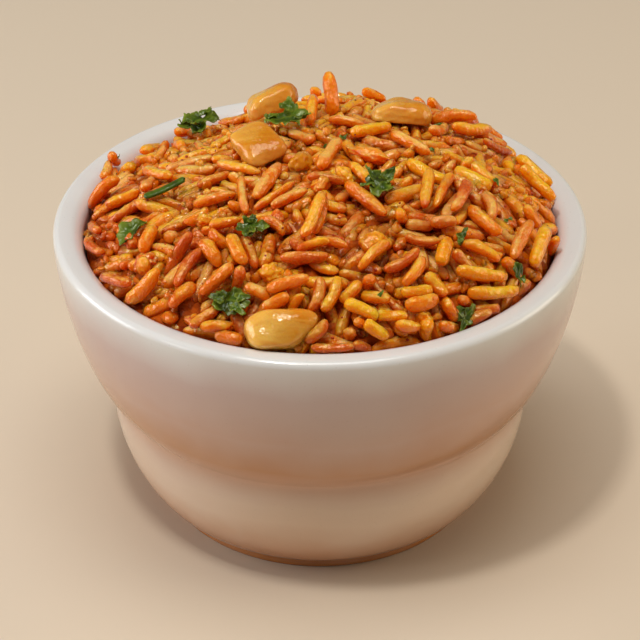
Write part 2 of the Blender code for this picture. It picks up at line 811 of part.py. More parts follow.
def keep_main_body(mesh):
    """Drop loose scraps and fill sealed hollows: only the largest shell stays."""
    bm = bmesh.new()
    bm.from_mesh(mesh)
    bmesh.ops.triangulate(bm, faces=bm.faces)
    left = set(bm.faces)
    shells = []
    while left:
        seed = left.pop()
        shell, edge_of = {seed}, [seed]
        while edge_of:
            face = edge_of.pop()
            for edge in face.edges:
                for other in edge.link_faces:
                    if other in left:
                        left.remove(other)
                        shell.add(other)
                        edge_of.append(other)
        shells.append(shell)
    shells.sort(key=signed_volume, reverse=True)
    drop = [face for shell in shells[1:] for face in shell]
    if drop:
        bmesh.ops.delete(bm, geom=drop, context="FACES")
    bm.to_mesh(mesh)
    bm.free()


def thin_out(core):
    """Merge the shortest edges that fusing left, down to the heap's number of triangles."""
    thinned = core.modifiers.new("thinned", "DECIMATE")
    thinned.ratio = min(1.0, HEAP_TRIANGLES / len(core.data.polygons))
    graph = bpy.context.evaluated_depsgraph_get()
    lighter = bpy.data.meshes.new_from_object(core.evaluated_get(graph))
    core.modifiers.remove(thinned)
    old = core.data
    core.data = lighter
    bpy.data.meshes.remove(old)


def fuse(core, pieces, helper):
    """Join the pieces to the core as one solid and remove them."""
    union = core.modifiers.new("fused", "BOOLEAN")
    union.operation = "UNION"
    union.operand_type = "COLLECTION"
    union.collection = helper
    union.solver = "MANIFOLD"
    graph = bpy.context.evaluated_depsgraph_get()
    joined = bpy.data.meshes.new_from_object(core.evaluated_get(graph))
    core.modifiers.remove(union)
    old = core.data
    core.data = joined
    bpy.data.meshes.remove(old)
    for obj in pieces:
        mesh = obj.data
        bpy.data.objects.remove(obj)
        bpy.data.meshes.remove(mesh)
    bpy.data.collections.remove(helper)
    keep_main_body(core.data)
    thin_out(core)


def main():
    """Build the bowl, the rice heap and everything that lies on it."""
    for obj in list(bpy.data.objects):
        bpy.data.objects.remove(obj)
    collection = bpy.data.collections.new("rice_bowl")
    bpy.context.scene.collection.children.link(collection)
    helper = bpy.data.collections.new("heap_pieces")
    helper.hide_render = True
    bpy.context.scene.collection.children.link(helper)

    glaze = principled("bowl_glaze", (0.80, 0.74, 0.66), 0.25)
    rice = principled("seasoned_rice", (0.72, 0.28, 0.06), 0.45)
    onion = principled("cooked_onion", (0.74, 0.44, 0.12), 0.25)
    parsley = principled("parsley_green", (0.07, 0.18, 0.03), 0.5)

    bowl = make_bowl(collection)
    bowl.data.materials.append(glaze)
    core = make_core(collection)
    surroundings = Surroundings(core)
    toppings = []
    for row in ONIONS:
        piece = make_onion(row, surroundings, collection)
        piece.data.materials.append(onion)
        smooth(piece, 50.0)
        toppings.append(piece)
    for row in LEAVES:
        piece = make_leaf(row, surroundings, collection)
        piece.data.materials.append(parsley)
        toppings.append(piece)
    for row in STRIPS:
        piece = make_strip(row, surroundings, collection)
        piece.data.materials.append(parsley)
        toppings.append(piece)
    for piece in toppings:
        surroundings.add(piece)
    pieces = make_lumps(surroundings, helper) + make_grains(surroundings, helper)
    fuse(core, pieces, helper)
    core.data.materials.clear()
    core.data.materials.append(rice)


main()
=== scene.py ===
"""The looks of a thick white cup-shaped bowl heaped with seasoned orange rice.

The bowl is turned from its own section. The rice is a saucy core, its dark partly painted shade,
with several hundred grains that were pushed apart until they lie on each other.
Cooked onion, parsley and chive lie on the heap, and crumbs of seasoning cling
to the grains. Lengths are in metres, +Z is up and the foot stands on Z = 0.
"""

import logging
import math
import random
from collections.abc import Callable
from dataclasses import dataclass, field
from enum import Enum

import bmesh
import bpy
import numpy as np
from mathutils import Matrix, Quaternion, Vector, noise
from mathutils.bvhtree import BVHTree


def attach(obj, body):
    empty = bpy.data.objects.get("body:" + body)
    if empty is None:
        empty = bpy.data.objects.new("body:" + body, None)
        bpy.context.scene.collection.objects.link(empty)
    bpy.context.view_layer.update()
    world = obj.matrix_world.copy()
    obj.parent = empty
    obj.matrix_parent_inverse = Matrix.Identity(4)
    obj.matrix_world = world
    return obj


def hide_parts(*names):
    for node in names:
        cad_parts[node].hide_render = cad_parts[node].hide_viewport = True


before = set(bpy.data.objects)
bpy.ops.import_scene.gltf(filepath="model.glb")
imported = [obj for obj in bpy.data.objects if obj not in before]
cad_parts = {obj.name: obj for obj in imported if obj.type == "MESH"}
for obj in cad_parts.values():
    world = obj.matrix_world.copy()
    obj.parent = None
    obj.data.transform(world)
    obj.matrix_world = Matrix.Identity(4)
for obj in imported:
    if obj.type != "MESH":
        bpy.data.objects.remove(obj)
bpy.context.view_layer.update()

LOG = logging.getLogger("rice_bowl")
MM = 0.001
WELD = 0.01 * MM
FULL_TURN = 2.0 * math.pi

# Where the photograph was taken from, in metres
EYE = (0.0, -0.36757, 0.27230)

Colour = tuple[float, float, float]
Place = Callable[[float, float], tuple[Vector, Vector]]


def tint(red: float, green: float, blue: float) -> Colour:
    """Linear colour of a screen colour whose channels run from 0 to 255.

    Args:
        red: Red channel.
        green: Green channel.
        blue: Blue channel.

    Returns:
        The three linear values.
    """

    def linear(value: float) -> float:
        """One channel made linear."""
        share = value / 255.0
        return share / 12.92 if share <= 0.04045 else ((share + 0.055) / 1.055) ** 2.4

    return linear(red), linear(green), linear(blue)


# Node trees


class Desk:
    """A node tree on the bench: nodes are added to it and their sockets joined."""

    tree: bpy.types.NodeTree

    def node(
        self, kind: str, inputs: dict[str | int, object] | None = None, **settings: object
    ) -> bpy.types.Node:
        """Add a node.

        Args:
            kind: The node's type.
            inputs: What goes into its inputs, by their name or number.
            settings: Properties to set on it.

        Returns:
            The new node.
        """
        made = self.tree.nodes.new(kind)
        for key, value in settings.items():
            setattr(made, key, value)
        for key, value in (inputs or {}).items():
            self.feed(made.inputs[key], value)
        return made

    def feed(self, socket: bpy.types.NodeSocket, value: object) -> None:
        """Link an input where the value is a socket, and set a plain value otherwise.

        Args:
            socket: The input.
            value: A socket, a number, a name or a colour.
        """
        if isinstance(value, bpy.types.NodeSocket):
            self.tree.links.new(value, socket)
        elif isinstance(value, tuple) and len(value) == 3 and socket.type == "RGBA":
            socket.default_value = (*value, 1.0)
        else:
            socket.default_value = value

    def math(self, how: str, first: object, second: object = 0.0) -> bpy.types.NodeSocket:
        """A calculation with two numbers or sockets."""
        return self.node("ShaderNodeMath", {0: first, 1: second}, operation=how).outputs[0]


class ShaderDesk(Desk):
    """A material on the bench."""

    def __init__(self, name: str) -> None:
        """Start a material of this name with one shader joined to its output.

        Args:
            name: The material's name.
        """
        self.material = bpy.data.materials.new(name)
        self.material.use_nodes = True
        self.tree = self.material.node_tree
        self.tree.nodes.clear()
        output = self.node("ShaderNodeOutputMaterial")
        self.shader = self.node("ShaderNodeBsdfPrincipled")
        self.feed(output.inputs["Surface"], self.shader.outputs[0])
        self.place = self.node("ShaderNodeTexCoord").outputs["Object"]

    def noise(
        self,
        scale: float,
        detail: float = 2.0,
        roughness: float = 0.5,
        distortion: float = 0.0,
        place: bpy.types.NodeSocket | None = None,
    ) -> bpy.types.NodeSocket:
        """A cloudy pattern."""
        inputs = {"Scale": scale, "Detail": detail, "Roughness": roughness, "Distortion": distortion}
        return self.node("ShaderNodeTexNoise", {**inputs, "Vector": place or self.place}).outputs[0]

    def cells(self, scale: float) -> bpy.types.NodeSocket:
        """Distance to the nearest of many scattered points, this many to a metre."""
        inputs = {"Scale": scale, "Randomness": 1.0, "Vector": self.place}
        return self.node("ShaderNodeTexVoronoi", inputs).outputs["Distance"]

    def attribute(self, name: str) -> bpy.types.NodeSocket:
        """The factor of a value stored on the mesh."""
        return self.node("ShaderNodeAttribute", attribute_name=name).outputs["Fac"]

    def spread(
        self, value: object, low: float, high: float, first: float = 0.0, last: float = 1.0
    ) -> bpy.types.NodeSocket:
        """A value mapped from one range to another and held inside it."""
        inputs = {"Value": value, "From Min": low, "From Max": high, "To Min": first, "To Max": last}
        return self.node("ShaderNodeMapRange", inputs, clamp=True).outputs[0]

    def mix(self, share: object, first: object, second: object) -> bpy.types.NodeSocket:
        """Two colours or sockets mixed, with this share of the second."""
        inputs = {0: share, 6: first, 7: second}
        return self.node("ShaderNodeMix", inputs, data_type="RGBA").outputs[2]

    def bump(
        self,
        height: bpy.types.NodeSocket,
        distance: float,
        strength: float = 1.0,
        over: bpy.types.NodeSocket | None = None,
    ) -> bpy.types.NodeSocket:
        """Fine relief from a height.

        Args:
            height: The pattern.
            distance: Its depth in metres.
            strength: How much of it shows.
            over: Relief that it is laid over.

        Returns:
            The normal socket.
        """
        inputs = {"Distance": distance, "Strength": strength, "Height": height}
        if over is not None:
            inputs["Normal"] = over
        return self.node("ShaderNodeBump", inputs).outputs[0]

    def finish(
        self,
        colour: object,
        roughness: object,
        normal: bpy.types.NodeSocket | None = None,
        **plain: float | Colour,
    ) -> bpy.types.Material:
        """Set the shader's inputs and return the material.

        Args:
            colour: Base colour or socket.
            roughness: Roughness or socket.
            normal: Relief.
            plain: Other inputs by name, underscores standing for spaces.

        Returns:
            The finished material.
        """
        inputs = {"Base Color": colour, "Roughness": roughness}
        if normal is not None:
            inputs |= {"Normal": normal, "Coat Normal": normal}
        for key, value in inputs.items():
            self.feed(self.shader.inputs[key], value)
        for key, value in plain.items():
            self.shader.inputs[key.replace("_", " ")].default_value = value
        return self.material


class TreeDesk(Desk):
    """A geometry tree on the bench, with named inputs."""

    def __init__(self, name: str) -> None:
        """Start a tree with a geometry input and a geometry output.

        Args:
            name: The tree's name.
        """
        self.tree = bpy.data.node_groups.new(name, "GeometryNodeTree")
        for way in ("INPUT", "OUTPUT"):
            self.tree.interface.new_socket("Geometry", in_out=way, socket_type="NodeSocketGeometry")
        self.values: dict[str, object] = {}
        self.source = self.node("NodeGroupInput")
        self.sink = self.node("NodeGroupOutput")

    def input(self, name: str, kind: str, value: object) -> bpy.types.NodeSocket:
        """Add a named input.

        Args:
            name: Its name.
            kind: Float, Int or Material.
            value: What the modifier gives it.

        Returns:
            The socket that gives it inside the tree.
        """
        made = self.tree.interface.new_socket(name, in_out="INPUT", socket_type=f"NodeSocket{kind}")
        self.values[made.identifier] = value
        return self.source.outputs[name]

    def stored(self, name: str, kind: str = "FLOAT") -> bpy.types.NodeSocket:
        """A value of this name and type that is stored on the geometry."""
        return self.node("GeometryNodeInputNamedAttribute", {"Name": name}, data_type=kind).outputs[0]

    def parts(self, vector: bpy.types.NodeSocket) -> bpy.types.NodeOutputs:
        """A vector's X, Y and Z."""
        return self.node("ShaderNodeSeparateXYZ", {0: vector}).outputs

    def moved(self, geometry: bpy.types.NodeSocket, **how: object) -> bpy.types.NodeSocket:
        """Geometry whose points are put at a Position or moved by an Offset."""
        return self.node("GeometryNodeSetPosition", {"Geometry": geometry, **how}).outputs[0]

    def scaled(self, vector: bpy.types.NodeSocket, factor: object) -> bpy.types.NodeSocket:
        """A vector made longer or shorter."""
        made = self.node("ShaderNodeVectorMath", {0: vector, "Scale": factor}, operation="SCALE")
        return made.outputs["Vector"]

    def real(self, geometry: bpy.types.NodeSocket) -> bpy.types.NodeSocket:
        """Geometry with its instances realized."""
        return self.node("GeometryNodeRealizeInstances", {0: geometry}).outputs[0]

    def laid(
        self,
        points: bpy.types.NodeSocket,
        piece: bpy.types.NodeSocket,
        lie: bpy.types.NodeSocket,
        size: bpy.types.NodeSocket,
    ) -> bpy.types.NodeSocket:
        """One piece on each point.

        Args:
            points: Where they go.
            piece: The piece.
            lie: Its turns about X, Y and Z.
            size: Its scale.

        Returns:
            The pieces as plain geometry.
        """
        turn = self.node("FunctionNodeEulerToRotation", {0: lie}).outputs[0]
        inputs = {"Points": points, "Instance": piece, "Rotation": turn, "Scale": size}
        return self.real(self.node("GeometryNodeInstanceOnPoints", inputs).outputs[0])

    def uneven(
        self, geometry: bpy.types.NodeSocket, cloud: bpy.types.NodeSocket, depth: bpy.types.NodeSocket
    ) -> bpy.types.NodeSocket:
        """Geometry pushed in and out along its normals by a cloudy pattern.

        Args:
            geometry: The geometry.
            cloud: The pattern, from 0 to 1.
            depth: How far its ends lie apart.

        Returns:
            The uneven geometry.
        """
        lump = self.math("MULTIPLY", self.math("SUBTRACT", cloud, 0.5), depth)
        normal = self.node("GeometryNodeInputNormal").outputs[0]
        return self.moved(geometry, Offset=self.scaled(normal, lump))

    def close(self, geometry: bpy.types.NodeSocket, finish: bpy.types.NodeSocket) -> None:
        """Realize the geometry, shade it smooth, give it its finish and end the tree.

        Args:
            geometry: The geometry.
            finish: The material input.
        """
        smooth = self.node("GeometryNodeSetShadeSmooth", {0: self.real(geometry)}).outputs[0]
        dress = self.node("GeometryNodeSetMaterial", {"Geometry": smooth, "Material": finish})
        self.feed(self.sink.inputs[0], dress.outputs[0])

    def grow(self, name: str, seed_mesh: bpy.types.Mesh) -> bpy.types.Object:
        """Run the tree on a mesh and keep the result as a plain mesh.

        Args:
            name: The new piece's name.
            seed_mesh: What the tree starts from.

        Returns:
            The piece.
        """
        piece = bpy.data.objects.new(name, seed_mesh)
        bpy.context.scene.collection.objects.link(piece)
        modifier = piece.modifiers.new(self.tree.name, "NODES")
        modifier.node_group = self.tree
        for identifier, value in self.values.items():
            modifier[identifier] = value
        graph = bpy.context.evaluated_depsgraph_get()
        made = bpy.data.meshes.new_from_object(piece.evaluated_get(graph), depsgraph=graph)
        piece.modifiers.remove(modifier)
        piece.data = made
        made.name = name
        bpy.data.meshes.remove(seed_mesh)
        return piece


# Finishes


@dataclass(frozen=True)
class IvoryGlaze:
    """Smooth ivory glaze over pale clay, with painted shade in bands by height: darker and warmer under the
    lip, on the wall, at the crease and towards the foot, and painted light on the belly, less dark than the
    wall.
    """

    body: Colour = tint(225, 223, 220)
    # Painted shade under the lip
    painted_shade_under_lip: Colour = tint(202, 178, 172)
    # Painted shade on the wall
    wall: Colour = tint(198, 160, 142)
    # Painted shade at the crease
    crease: Colour = tint(184, 124, 72)
    # Painted light on the belly, lighter than the painted wall shade
    belly: Colour = tint(220, 193, 170)
    # Painted shade and warm painted bounce light towards the foot
    foot: Colour = tint(178, 112, 56)
    # Heights of the painted shade and painted light bands
    painted_shade_under_lip_span: tuple[float, float] = (57 * MM, 50 * MM)
    painted_wall_shade_span: tuple[float, float] = (50 * MM, 40 * MM)
    crease_height: float = 30.5 * MM
    painted_crease_shade_reach: float = 8.5 * MM
    painted_belly_light_span: tuple[float, float] = (27 * MM, 20 * MM)
    painted_foot_shade_span: tuple[float, float] = (16 * MM, 2 * MM)
    cloud_scale: float = 38.0
    pit_scale: float = 900.0
    ripple_scale: float = 120.0
    ripple_depth: float = 0.05 * MM
    drift: float = 2.0 * MM
    pit: Colour = tint(150, 120, 92)

    def material(self) -> bpy.types.Material:
        """Build the glaze.

        Returns:
            The material.
        """
        desk = ShaderDesk("bowl_glaze")
        height = desk.node("ShaderNodeSeparateXYZ", {0: desk.place}).outputs["Z"]
        cloud = desk.noise(self.cloud_scale, 3.0, 0.55)
        drift = desk.math("ADD", height, desk.spread(cloud, 0.2, 0.8, -self.drift, self.drift))
        # Painted shade and light: the body is darkened in bands by height under the lip, on the wall, at the
        # crease and towards the foot, less on the belly
        colour = self.body
        for span, shade in (
            (self.painted_shade_under_lip_span, self.painted_shade_under_lip),
            (self.painted_wall_shade_span, self.wall),
            (self.painted_belly_light_span, self.belly),
        ):
            colour = desk.mix(desk.spread(drift, *span), colour, shade)
        away = desk.math("ABSOLUTE", desk.math("SUBTRACT", drift, self.crease_height))
        colour = desk.mix(desk.spread(away, 0.0, self.painted_crease_shade_reach, 0.9, 0.0), colour, self.crease)
        colour = desk.mix(desk.spread(drift, *self.painted_foot_shade_span), colour, self.foot)
        colour = desk.mix(desk.spread(cloud, 0.45, 0.75, 0.0, 0.12), colour, self.body)
        pits = desk.spread(desk.cells(self.pit_scale), 0.05, 0.11, 0.22, 0.0)
        colour = desk.mix(pits, colour, self.pit)
        roughness = desk.spread(desk.noise(210.0, 3.0), 0.25, 0.75, 0.17, 0.27)
        relief = desk.bump(desk.noise(self.ripple_scale, 2.0), self.ripple_depth, 0.6)
        return desk.finish(
            colour,
            roughness,
            relief,
            IOR=1.5,
            Coat_Weight=0.35,
            Coat_Roughness=0.08,
            Subsurface_Weight=0.06,
            Subsurface_Radius=(1.0, 0.7, 0.5),
            Subsurface_Scale=1.5 * MM,
        )


@dataclass(frozen=True)
class RiceFinish:
    """Stained cooked rice: pale flesh under an oily orange stain, with painted light and shade: paler with
    pale painted highlight spots on faces that look up, darker on faces that look down, and redder and darker
    as painted shade where it lies deep.
    """

    name: str
    flesh: Colour
    stain: Colour
    # Darker colour of random patches, and painted shade on faces that look down
    shade: Colour
    # Painted highlight: pale spots on faces that look up
    painted_highlight: Colour = tint(255, 208, 128)
    speck: Colour = tint(176, 62, 14)
    # Painted shade of grains that lie deep between the others
    depth: Colour = tint(140, 42, 2)
    sauce: Colour = tint(190, 62, 2)
    stain_span: tuple[float, float] = (0.40, 0.60)
    roughness: tuple[float, float] = (0.25, 0.42)

    def material(self) -> bpy.types.Material:
        """Build the rice.

        Returns:
            The material.
        """
        desk = ShaderDesk(self.name)
        crown, along = desk.attribute("crown"), desk.attribute("along")
        cloud = desk.noise(260.0, 3.0, 0.6)
        stained = desk.math("ADD", cloud, desk.spread(desk.attribute("tone"), 0.0, 1.0, -0.14, 0.14))
        # Painted light and shade: faces that look up get more pale flesh, faces that look down more stain
        stained = desk.math("ADD", stained, desk.spread(crown, 0.30, 0.95, 0.24, -0.14))
        ends = desk.spread(desk.math("MULTIPLY", along, along), 0.45, 1.0, 0.0, 0.5)
        # Painted highlights: pale spots on faces that look up
        pale = desk.spread(desk.noise(1000.0, 3.0, 0.65), 0.50, 0.60, 0.0, 0.48)
        pale = desk.math("MULTIPLY", pale, desk.spread(crown, 0.35, 0.90))
        # Painted shade on faces that look down
        under = desk.spread(crown, 0.15, -0.7, 0.0, 0.45)
        patch = desk.spread(desk.noise(110.0, 2.0, 0.5), 0.55, 0.72, 0.0, 0.55)
        specks = desk.spread(desk.cells(1500.0), 0.10, 0.22, 0.75, 0.0)
        specks = desk.math("MULTIPLY", specks, desk.spread(desk.noise(330.0, 2.0), 0.50, 0.62))
        # Painted shade: darker and redder where the grain lies deep under the heap's surface
        deep = desk.spread(desk.attribute("deep"), 0.25, 0.8, 0.0, 0.85)
        saucy = desk.math("MULTIPLY", desk.attribute("sauce"), desk.spread(cloud, 0.3, 0.6))
        colour = desk.mix(desk.spread(stained, *self.stain_span), self.flesh, self.stain)
        for share, shade in (
            (ends, self.stain),
            (pale, self.painted_highlight),
            (under, self.shade),
            (patch, self.shade),
            (specks, self.speck),
            (deep, self.depth),
            (desk.spread(saucy, 0.05, 0.8, 0.0, 0.8), self.sauce),
        ):
            colour = desk.mix(share, colour, shade)
        relief = desk.bump(desk.noise(420.0, 2.0, 0.5), 0.7 * MM, 0.9)
        relief = desk.bump(desk.noise(1300.0, 2.0, 0.5), 0.30 * MM, 0.8, relief)
        return desk.finish(
            colour,
            desk.spread(desk.noise(700.0, 2.0), 0.3, 0.7, *self.roughness),
            relief,
            IOR=1.42,
            Specular_IOR_Level=0.7,
            Specular_Tint=(1.0, 0.58, 0.14, 1.0),
            Coat_Weight=0.75,
            Coat_Roughness=0.10,
            Coat_IOR=1.45,
            Coat_Tint=(1.0, 0.93, 0.82, 1.0),
            Subsurface_Weight=0.75,
            Subsurface_Radius=(1.0, 0.48, 0.08),
            Subsurface_Scale=3.4 * MM,
        )


@dataclass(frozen=True)
class SauceAndGapShadeFinish:
    """The oily sauce of the core in the gaps between the grains, its dark colour partly painted shade of the
    gaps.
    """

    bright: Colour = tint(200, 88, 4)
    # Dark that also stands as painted shade of the gaps, mixed at random with the sauce's bright orange
    dark: Colour = tint(112, 28, 1)

    def material(self) -> bpy.types.Material:
        """Build the sauce.

        Returns:
            The material.
        """
        desk = ShaderDesk("rice_sauce_and_gap_shade")
        cloud = desk.noise(420.0, 4.0, 0.6)
        colour = desk.mix(desk.spread(cloud, 0.35, 0.7), self.dark, self.bright)
        return desk.finish(
            colour,
            desk.spread(cloud, 0.3, 0.7, 0.35, 0.6),
            desk.bump(cloud, 0.6 * MM, 0.8),
            IOR=1.4,
            Specular_IOR_Level=0.3,
            Specular_Tint=(1.0, 0.62, 0.28, 1.0),
        )


@dataclass(frozen=True)
class OnionFinish:
    """Translucent cooked onion, amber and glossy, with fine lines along its layers."""

    pale: Colour = tint(230, 180, 82)
    amber: Colour = tint(210, 132, 12)
    line: Colour = tint(196, 98, 8)
    rim: Colour = tint(240, 168, 66)
    layering: tuple[float, float, float] = (0.25, 1.4, 1.4)

    def material(self) -> bpy.types.Material:
        """Build the onion.

        Returns:
            The material.
        """
        desk = ShaderDesk("cooked_onion")
        cloud = desk.noise(150.0, 3.0, 0.5)
        reach = desk.math("ADD", desk.attribute("reach"), desk.spread(cloud, 0.2, 0.8, -0.3, 0.3))
        colour = desk.mix(desk.spread(reach, 0.15, 0.75), self.pale, self.amber)
        colour = desk.mix(desk.spread(reach, 0.80, 1.25, 0.0, 0.7), colour, self.line)
        layers = desk.node("ShaderNodeMapping", {"Vector": desk.place, "Scale": self.layering})
        streak = desk.noise(300.0, 2.0, 0.5, 0.6, layers.outputs[0])
        colour = desk.mix(desk.spread(streak, 0.52, 0.66, 0.0, 0.45), colour, self.line)
        colour = desk.mix(desk.spread(streak, 0.46, 0.34, 0.0, 0.4), colour, self.pale)
        colour = desk.mix(desk.spread(desk.attribute("rim"), 0.60, 0.95, 0.0, 0.4), colour, self.rim)
        relief = desk.bump(streak, 0.35 * MM, 0.6)
        relief = desk.bump(desk.noise(340.0, 3.0, 0.55), 0.7 * MM, 0.7, relief)
        return desk.finish(
            colour,
            desk.spread(desk.noise(500.0, 2.0), 0.3, 0.7, 0.22, 0.36),
            relief,
            IOR=1.42,
            Specular_IOR_Level=0.35,
            Specular_Tint=(1.0, 0.74, 0.36, 1.0),
            Coat_Weight=0.65,
            Coat_Roughness=0.12,
            Subsurface_Weight=0.7,
            Subsurface_Radius=(1.0, 0.62, 0.16),
            Subsurface_Scale=2.4 * MM,
        )


@dataclass(frozen=True)
class HerbFinish:
    """Wet chopped parsley, dark green with paler veins."""

    name: str = "parsley_green"
    dark: Colour = tint(34, 52, 3)
    mid: Colour = tint(70, 96, 6)
    pale: Colour = tint(156, 164, 46)

    def material(self) -> bpy.types.Material:
        """Build the leaf.

        Returns:
            The material.
        """
        desk = ShaderDesk(self.name)
        cloud = desk.noise(420.0, 3.0, 0.6)
        colour = desk.mix(desk.spread(cloud, 0.35, 0.68), self.dark, self.mid)
        edge = desk.spread(desk.attribute("edge"), 0.45, 1.0, 0.0, 0.55)
        edge = desk.math("MULTIPLY", edge, desk.spread(cloud, 0.3, 0.6))
        vein = desk.spread(desk.attribute("vein"), 0.2, 1.0, 0.0, 0.22)
        for share in (edge, vein):
            colour = desk.mix(share, colour, self.pale)
        relief = desk.bump(desk.noise(1500.0, 2.0, 0.5), 0.12 * MM, 0.6)
        return desk.finish(
            colour,
            desk.spread(cloud, 0.3, 0.7, 0.26, 0.45),
            relief,
            IOR=1.4,
            Specular_Tint=(0.85, 1.0, 0.55, 1.0),
            Coat_Weight=0.3,
            Coat_Roughness=0.12,
            Subsurface_Weight=0.12,
            Subsurface_Radius=(0.4, 1.0, 0.2),
            Subsurface_Scale=0.6 * MM,
        )


@dataclass(frozen=True)
class CrumbFinish:
    """Ground seasoning: one hue with a cloudy change of depth."""

    name: str
    light: Colour
    dark: Colour
    roughness: tuple[float, float] = (0.40, 0.55)

    def material(self) -> bpy.types.Material:
        """Build the crumb.

        Returns:
            The material.
        """
        desk = ShaderDesk(self.name)
        cloud = desk.noise(800.0, 3.0, 0.6)
        colour = desk.mix(desk.spread(cloud, 0.35, 0.65), self.dark, self.light)
        return desk.finish(colour, desk.spread(cloud, 0.3, 0.7, *self.roughness), IOR=1.45)


@dataclass(frozen=True)
class FloorFinish:
    """A plain pale tabletop."""

    colour: Colour = tint(218, 201, 179)

    def material(self) -> bpy.types.Material:
        """Build the floor."""
        return ShaderDesk("pale_floor").finish(self.colour, 0.7)


# Forms that the pieces share


@dataclass(frozen=True)
class BowlSection:
    """The bowl's section in the half plane of radius and height."""

    rim_radius: float = 48.95 * MM
    height: float = 58.0 * MM
    foot_radius: float = 30.2 * MM
    foot_edge: float = 0.5 * MM
    foot_top: float = 1.7 * MM
    foot_neck_radius: float = 29.6 * MM
    foot_waist: float = 0.15 * MM
    foot_inner_radius: float = 25.6 * MM
    recess_depth: float = 2.0 * MM
    recess_corner: float = 0.8 * MM
    belly_radius: float = 39.25 * MM
    belly_top: float = 20.4 * MM
    belly_power: float = 1.58
    waist_radius: float = 38.4 * MM
    waist_height: float = 25.2 * MM
    waist_slope: float = 1.5
    flare_power: float = 1.58
    crease_softness: float = 0.35 * MM
    lip_outer_fillet: float = 1.25 * MM
    lip_inner_fillet: float = 2.6 * MM
    lip_top_drop: float = 0.15 * MM
    wall_radius: float = 43.5 * MM
    floor_height: float = 7.0 * MM
    inside_power: float = 2.1
    outer_stations: int = 74
    inner_stations: int = 30
    lip_stations: int = 12

    @property
    def flare_top(self) -> float:
        """Height at which the outside meets the lip's fillet."""
        return self.height - self.lip_outer_fillet

    @property
    def wall_top(self) -> float:
        """Height at which the inside meets the lip's fillet."""
        return self.height - self.lip_top_drop - self.lip_inner_fillet

    def belly(self, height: float) -> float:
        """Radius of the lower body.

        Args:
            height: Height over the foot.

        Returns:
            The radius.
        """
        if height >= self.belly_top:
            return self.belly_radius
        drop = min(1.0, (self.belly_top - height) / (self.belly_top - self.foot_top))
        swell = (1.0 - drop**self.belly_power) ** (1.0 / self.belly_power)
        return self.foot_neck_radius + (self.belly_radius - self.foot_neck_radius) * swell

    def flare(self, height: float) -> float:
        """Radius of the upper body.

        Args:
            height: Height over the foot.

        Returns:
            The radius.
        """
        if height <= self.waist_height:
            return self.waist_radius - self.waist_slope * (self.waist_height - height)
        drop = max(0.0, (self.flare_top - height) / (self.flare_top - self.waist_height))
        swell = (1.0 - drop**self.flare_power) ** (1.0 / self.flare_power)
        return self.waist_radius + (self.rim_radius - self.waist_radius) * swell

    def outer(self, height: float) -> float:
        """The larger of belly and flare, eased into each other at the crease.

        Args:
            height: Height over the foot.

        Returns:
            The radius.
        """
        belly, flare = self.belly(height), self.flare(height)
        half = 0.5 * (belly - flare)
        return 0.5 * (belly + flare) + math.sqrt(half * half + self.crease_softness**2)

    def inner(self, height: float) -> float:
        """Radius of the inside at a height over the foot."""
        drop = min(1.0, max(0.0, (self.wall_top - height) / (self.wall_top - self.floor_height)))
        return self.wall_radius * (1.0 - drop**self.inside_power) ** (1.0 / self.inside_power)

    def room(self, height: np.ndarray, clear: np.ndarray) -> np.ndarray:
        """Largest radius at each height that stays this far inside the wall and the lip.

        Args:
            height: Heights over the foot.
            clear: Distance to keep.

        Returns:
            The radii.
        """
        drop = np.clip((self.wall_top - height) / (self.wall_top - self.floor_height), 0.0, 1.0)
        inside = self.wall_radius * (1.0 - drop**self.inside_power) ** (1.0 / self.inside_power) - clear
        left = (self.lip_inner_fillet + clear) ** 2 - (height - self.wall_top) ** 2
        over = self.wall_radius + self.lip_inner_fillet - np.sqrt(np.maximum(left, 0.0))
        over = np.where(left <= 0.0, self.rim_radius, over)
        return np.where(height <= self.wall_top, inside, over)

    @staticmethod
    def arc(
        centre: tuple[float, float], radius: float, start: float, end: float, count: int
    ) -> list[tuple[float, float]]:
        """Points of a circular arc."""
        turns = [math.radians(start + (end - start) * i / (count - 1)) for i in range(count)]
        return [(centre[0] + radius * math.cos(a), centre[1] + radius * math.sin(a)) for a in turns]

    def outline(self) -> list[tuple[float, float]]:
        """The whole section: up the inside, over the lip, down the outside, under the foot.

        Returns:
            Points as radius and height.
        """
        points = [(0.0, self.floor_height)]
        for i in range(1, self.inner_stations):
            share = math.sin(0.5 * math.pi * i / self.inner_stations) ** 2
            height = self.floor_height + (self.wall_top - self.floor_height) * share
            points.append((self.inner(height), height))
        lip = (self.wall_radius + self.lip_inner_fillet, self.wall_top)
        points += self.arc(lip, self.lip_inner_fillet, 180.0, 96.0, self.lip_stations)
        edge = (self.rim_radius - self.lip_outer_fillet, self.flare_top)
        points += self.arc(edge, self.lip_outer_fillet, 90.0, 0.0, self.lip_stations)
        for i in range(1, self.outer_stations):
            height = self.flare_top + (self.foot_top - self.flare_top) * i / self.outer_stations
            points.append((self.outer(height), height))
        points += [
            (self.foot_neck_radius, self.foot_top),
            (self.foot_radius - self.foot_waist, 0.5 * (self.foot_top + self.foot_edge)),
            (self.foot_radius, self.foot_edge),
            (self.foot_radius - 0.3 * self.foot_edge, 0.3 * self.foot_edge),
            (self.foot_radius - self.foot_edge, 0.0),
            (self.foot_inner_radius + self.foot_edge, 0.0),
            (self.foot_inner_radius, self.foot_edge),
            (self.foot_inner_radius - self.recess_corner, self.recess_depth),
            (0.5 * self.foot_inner_radius, self.recess_depth),
            (0.0, self.recess_depth),
        ]
        return points


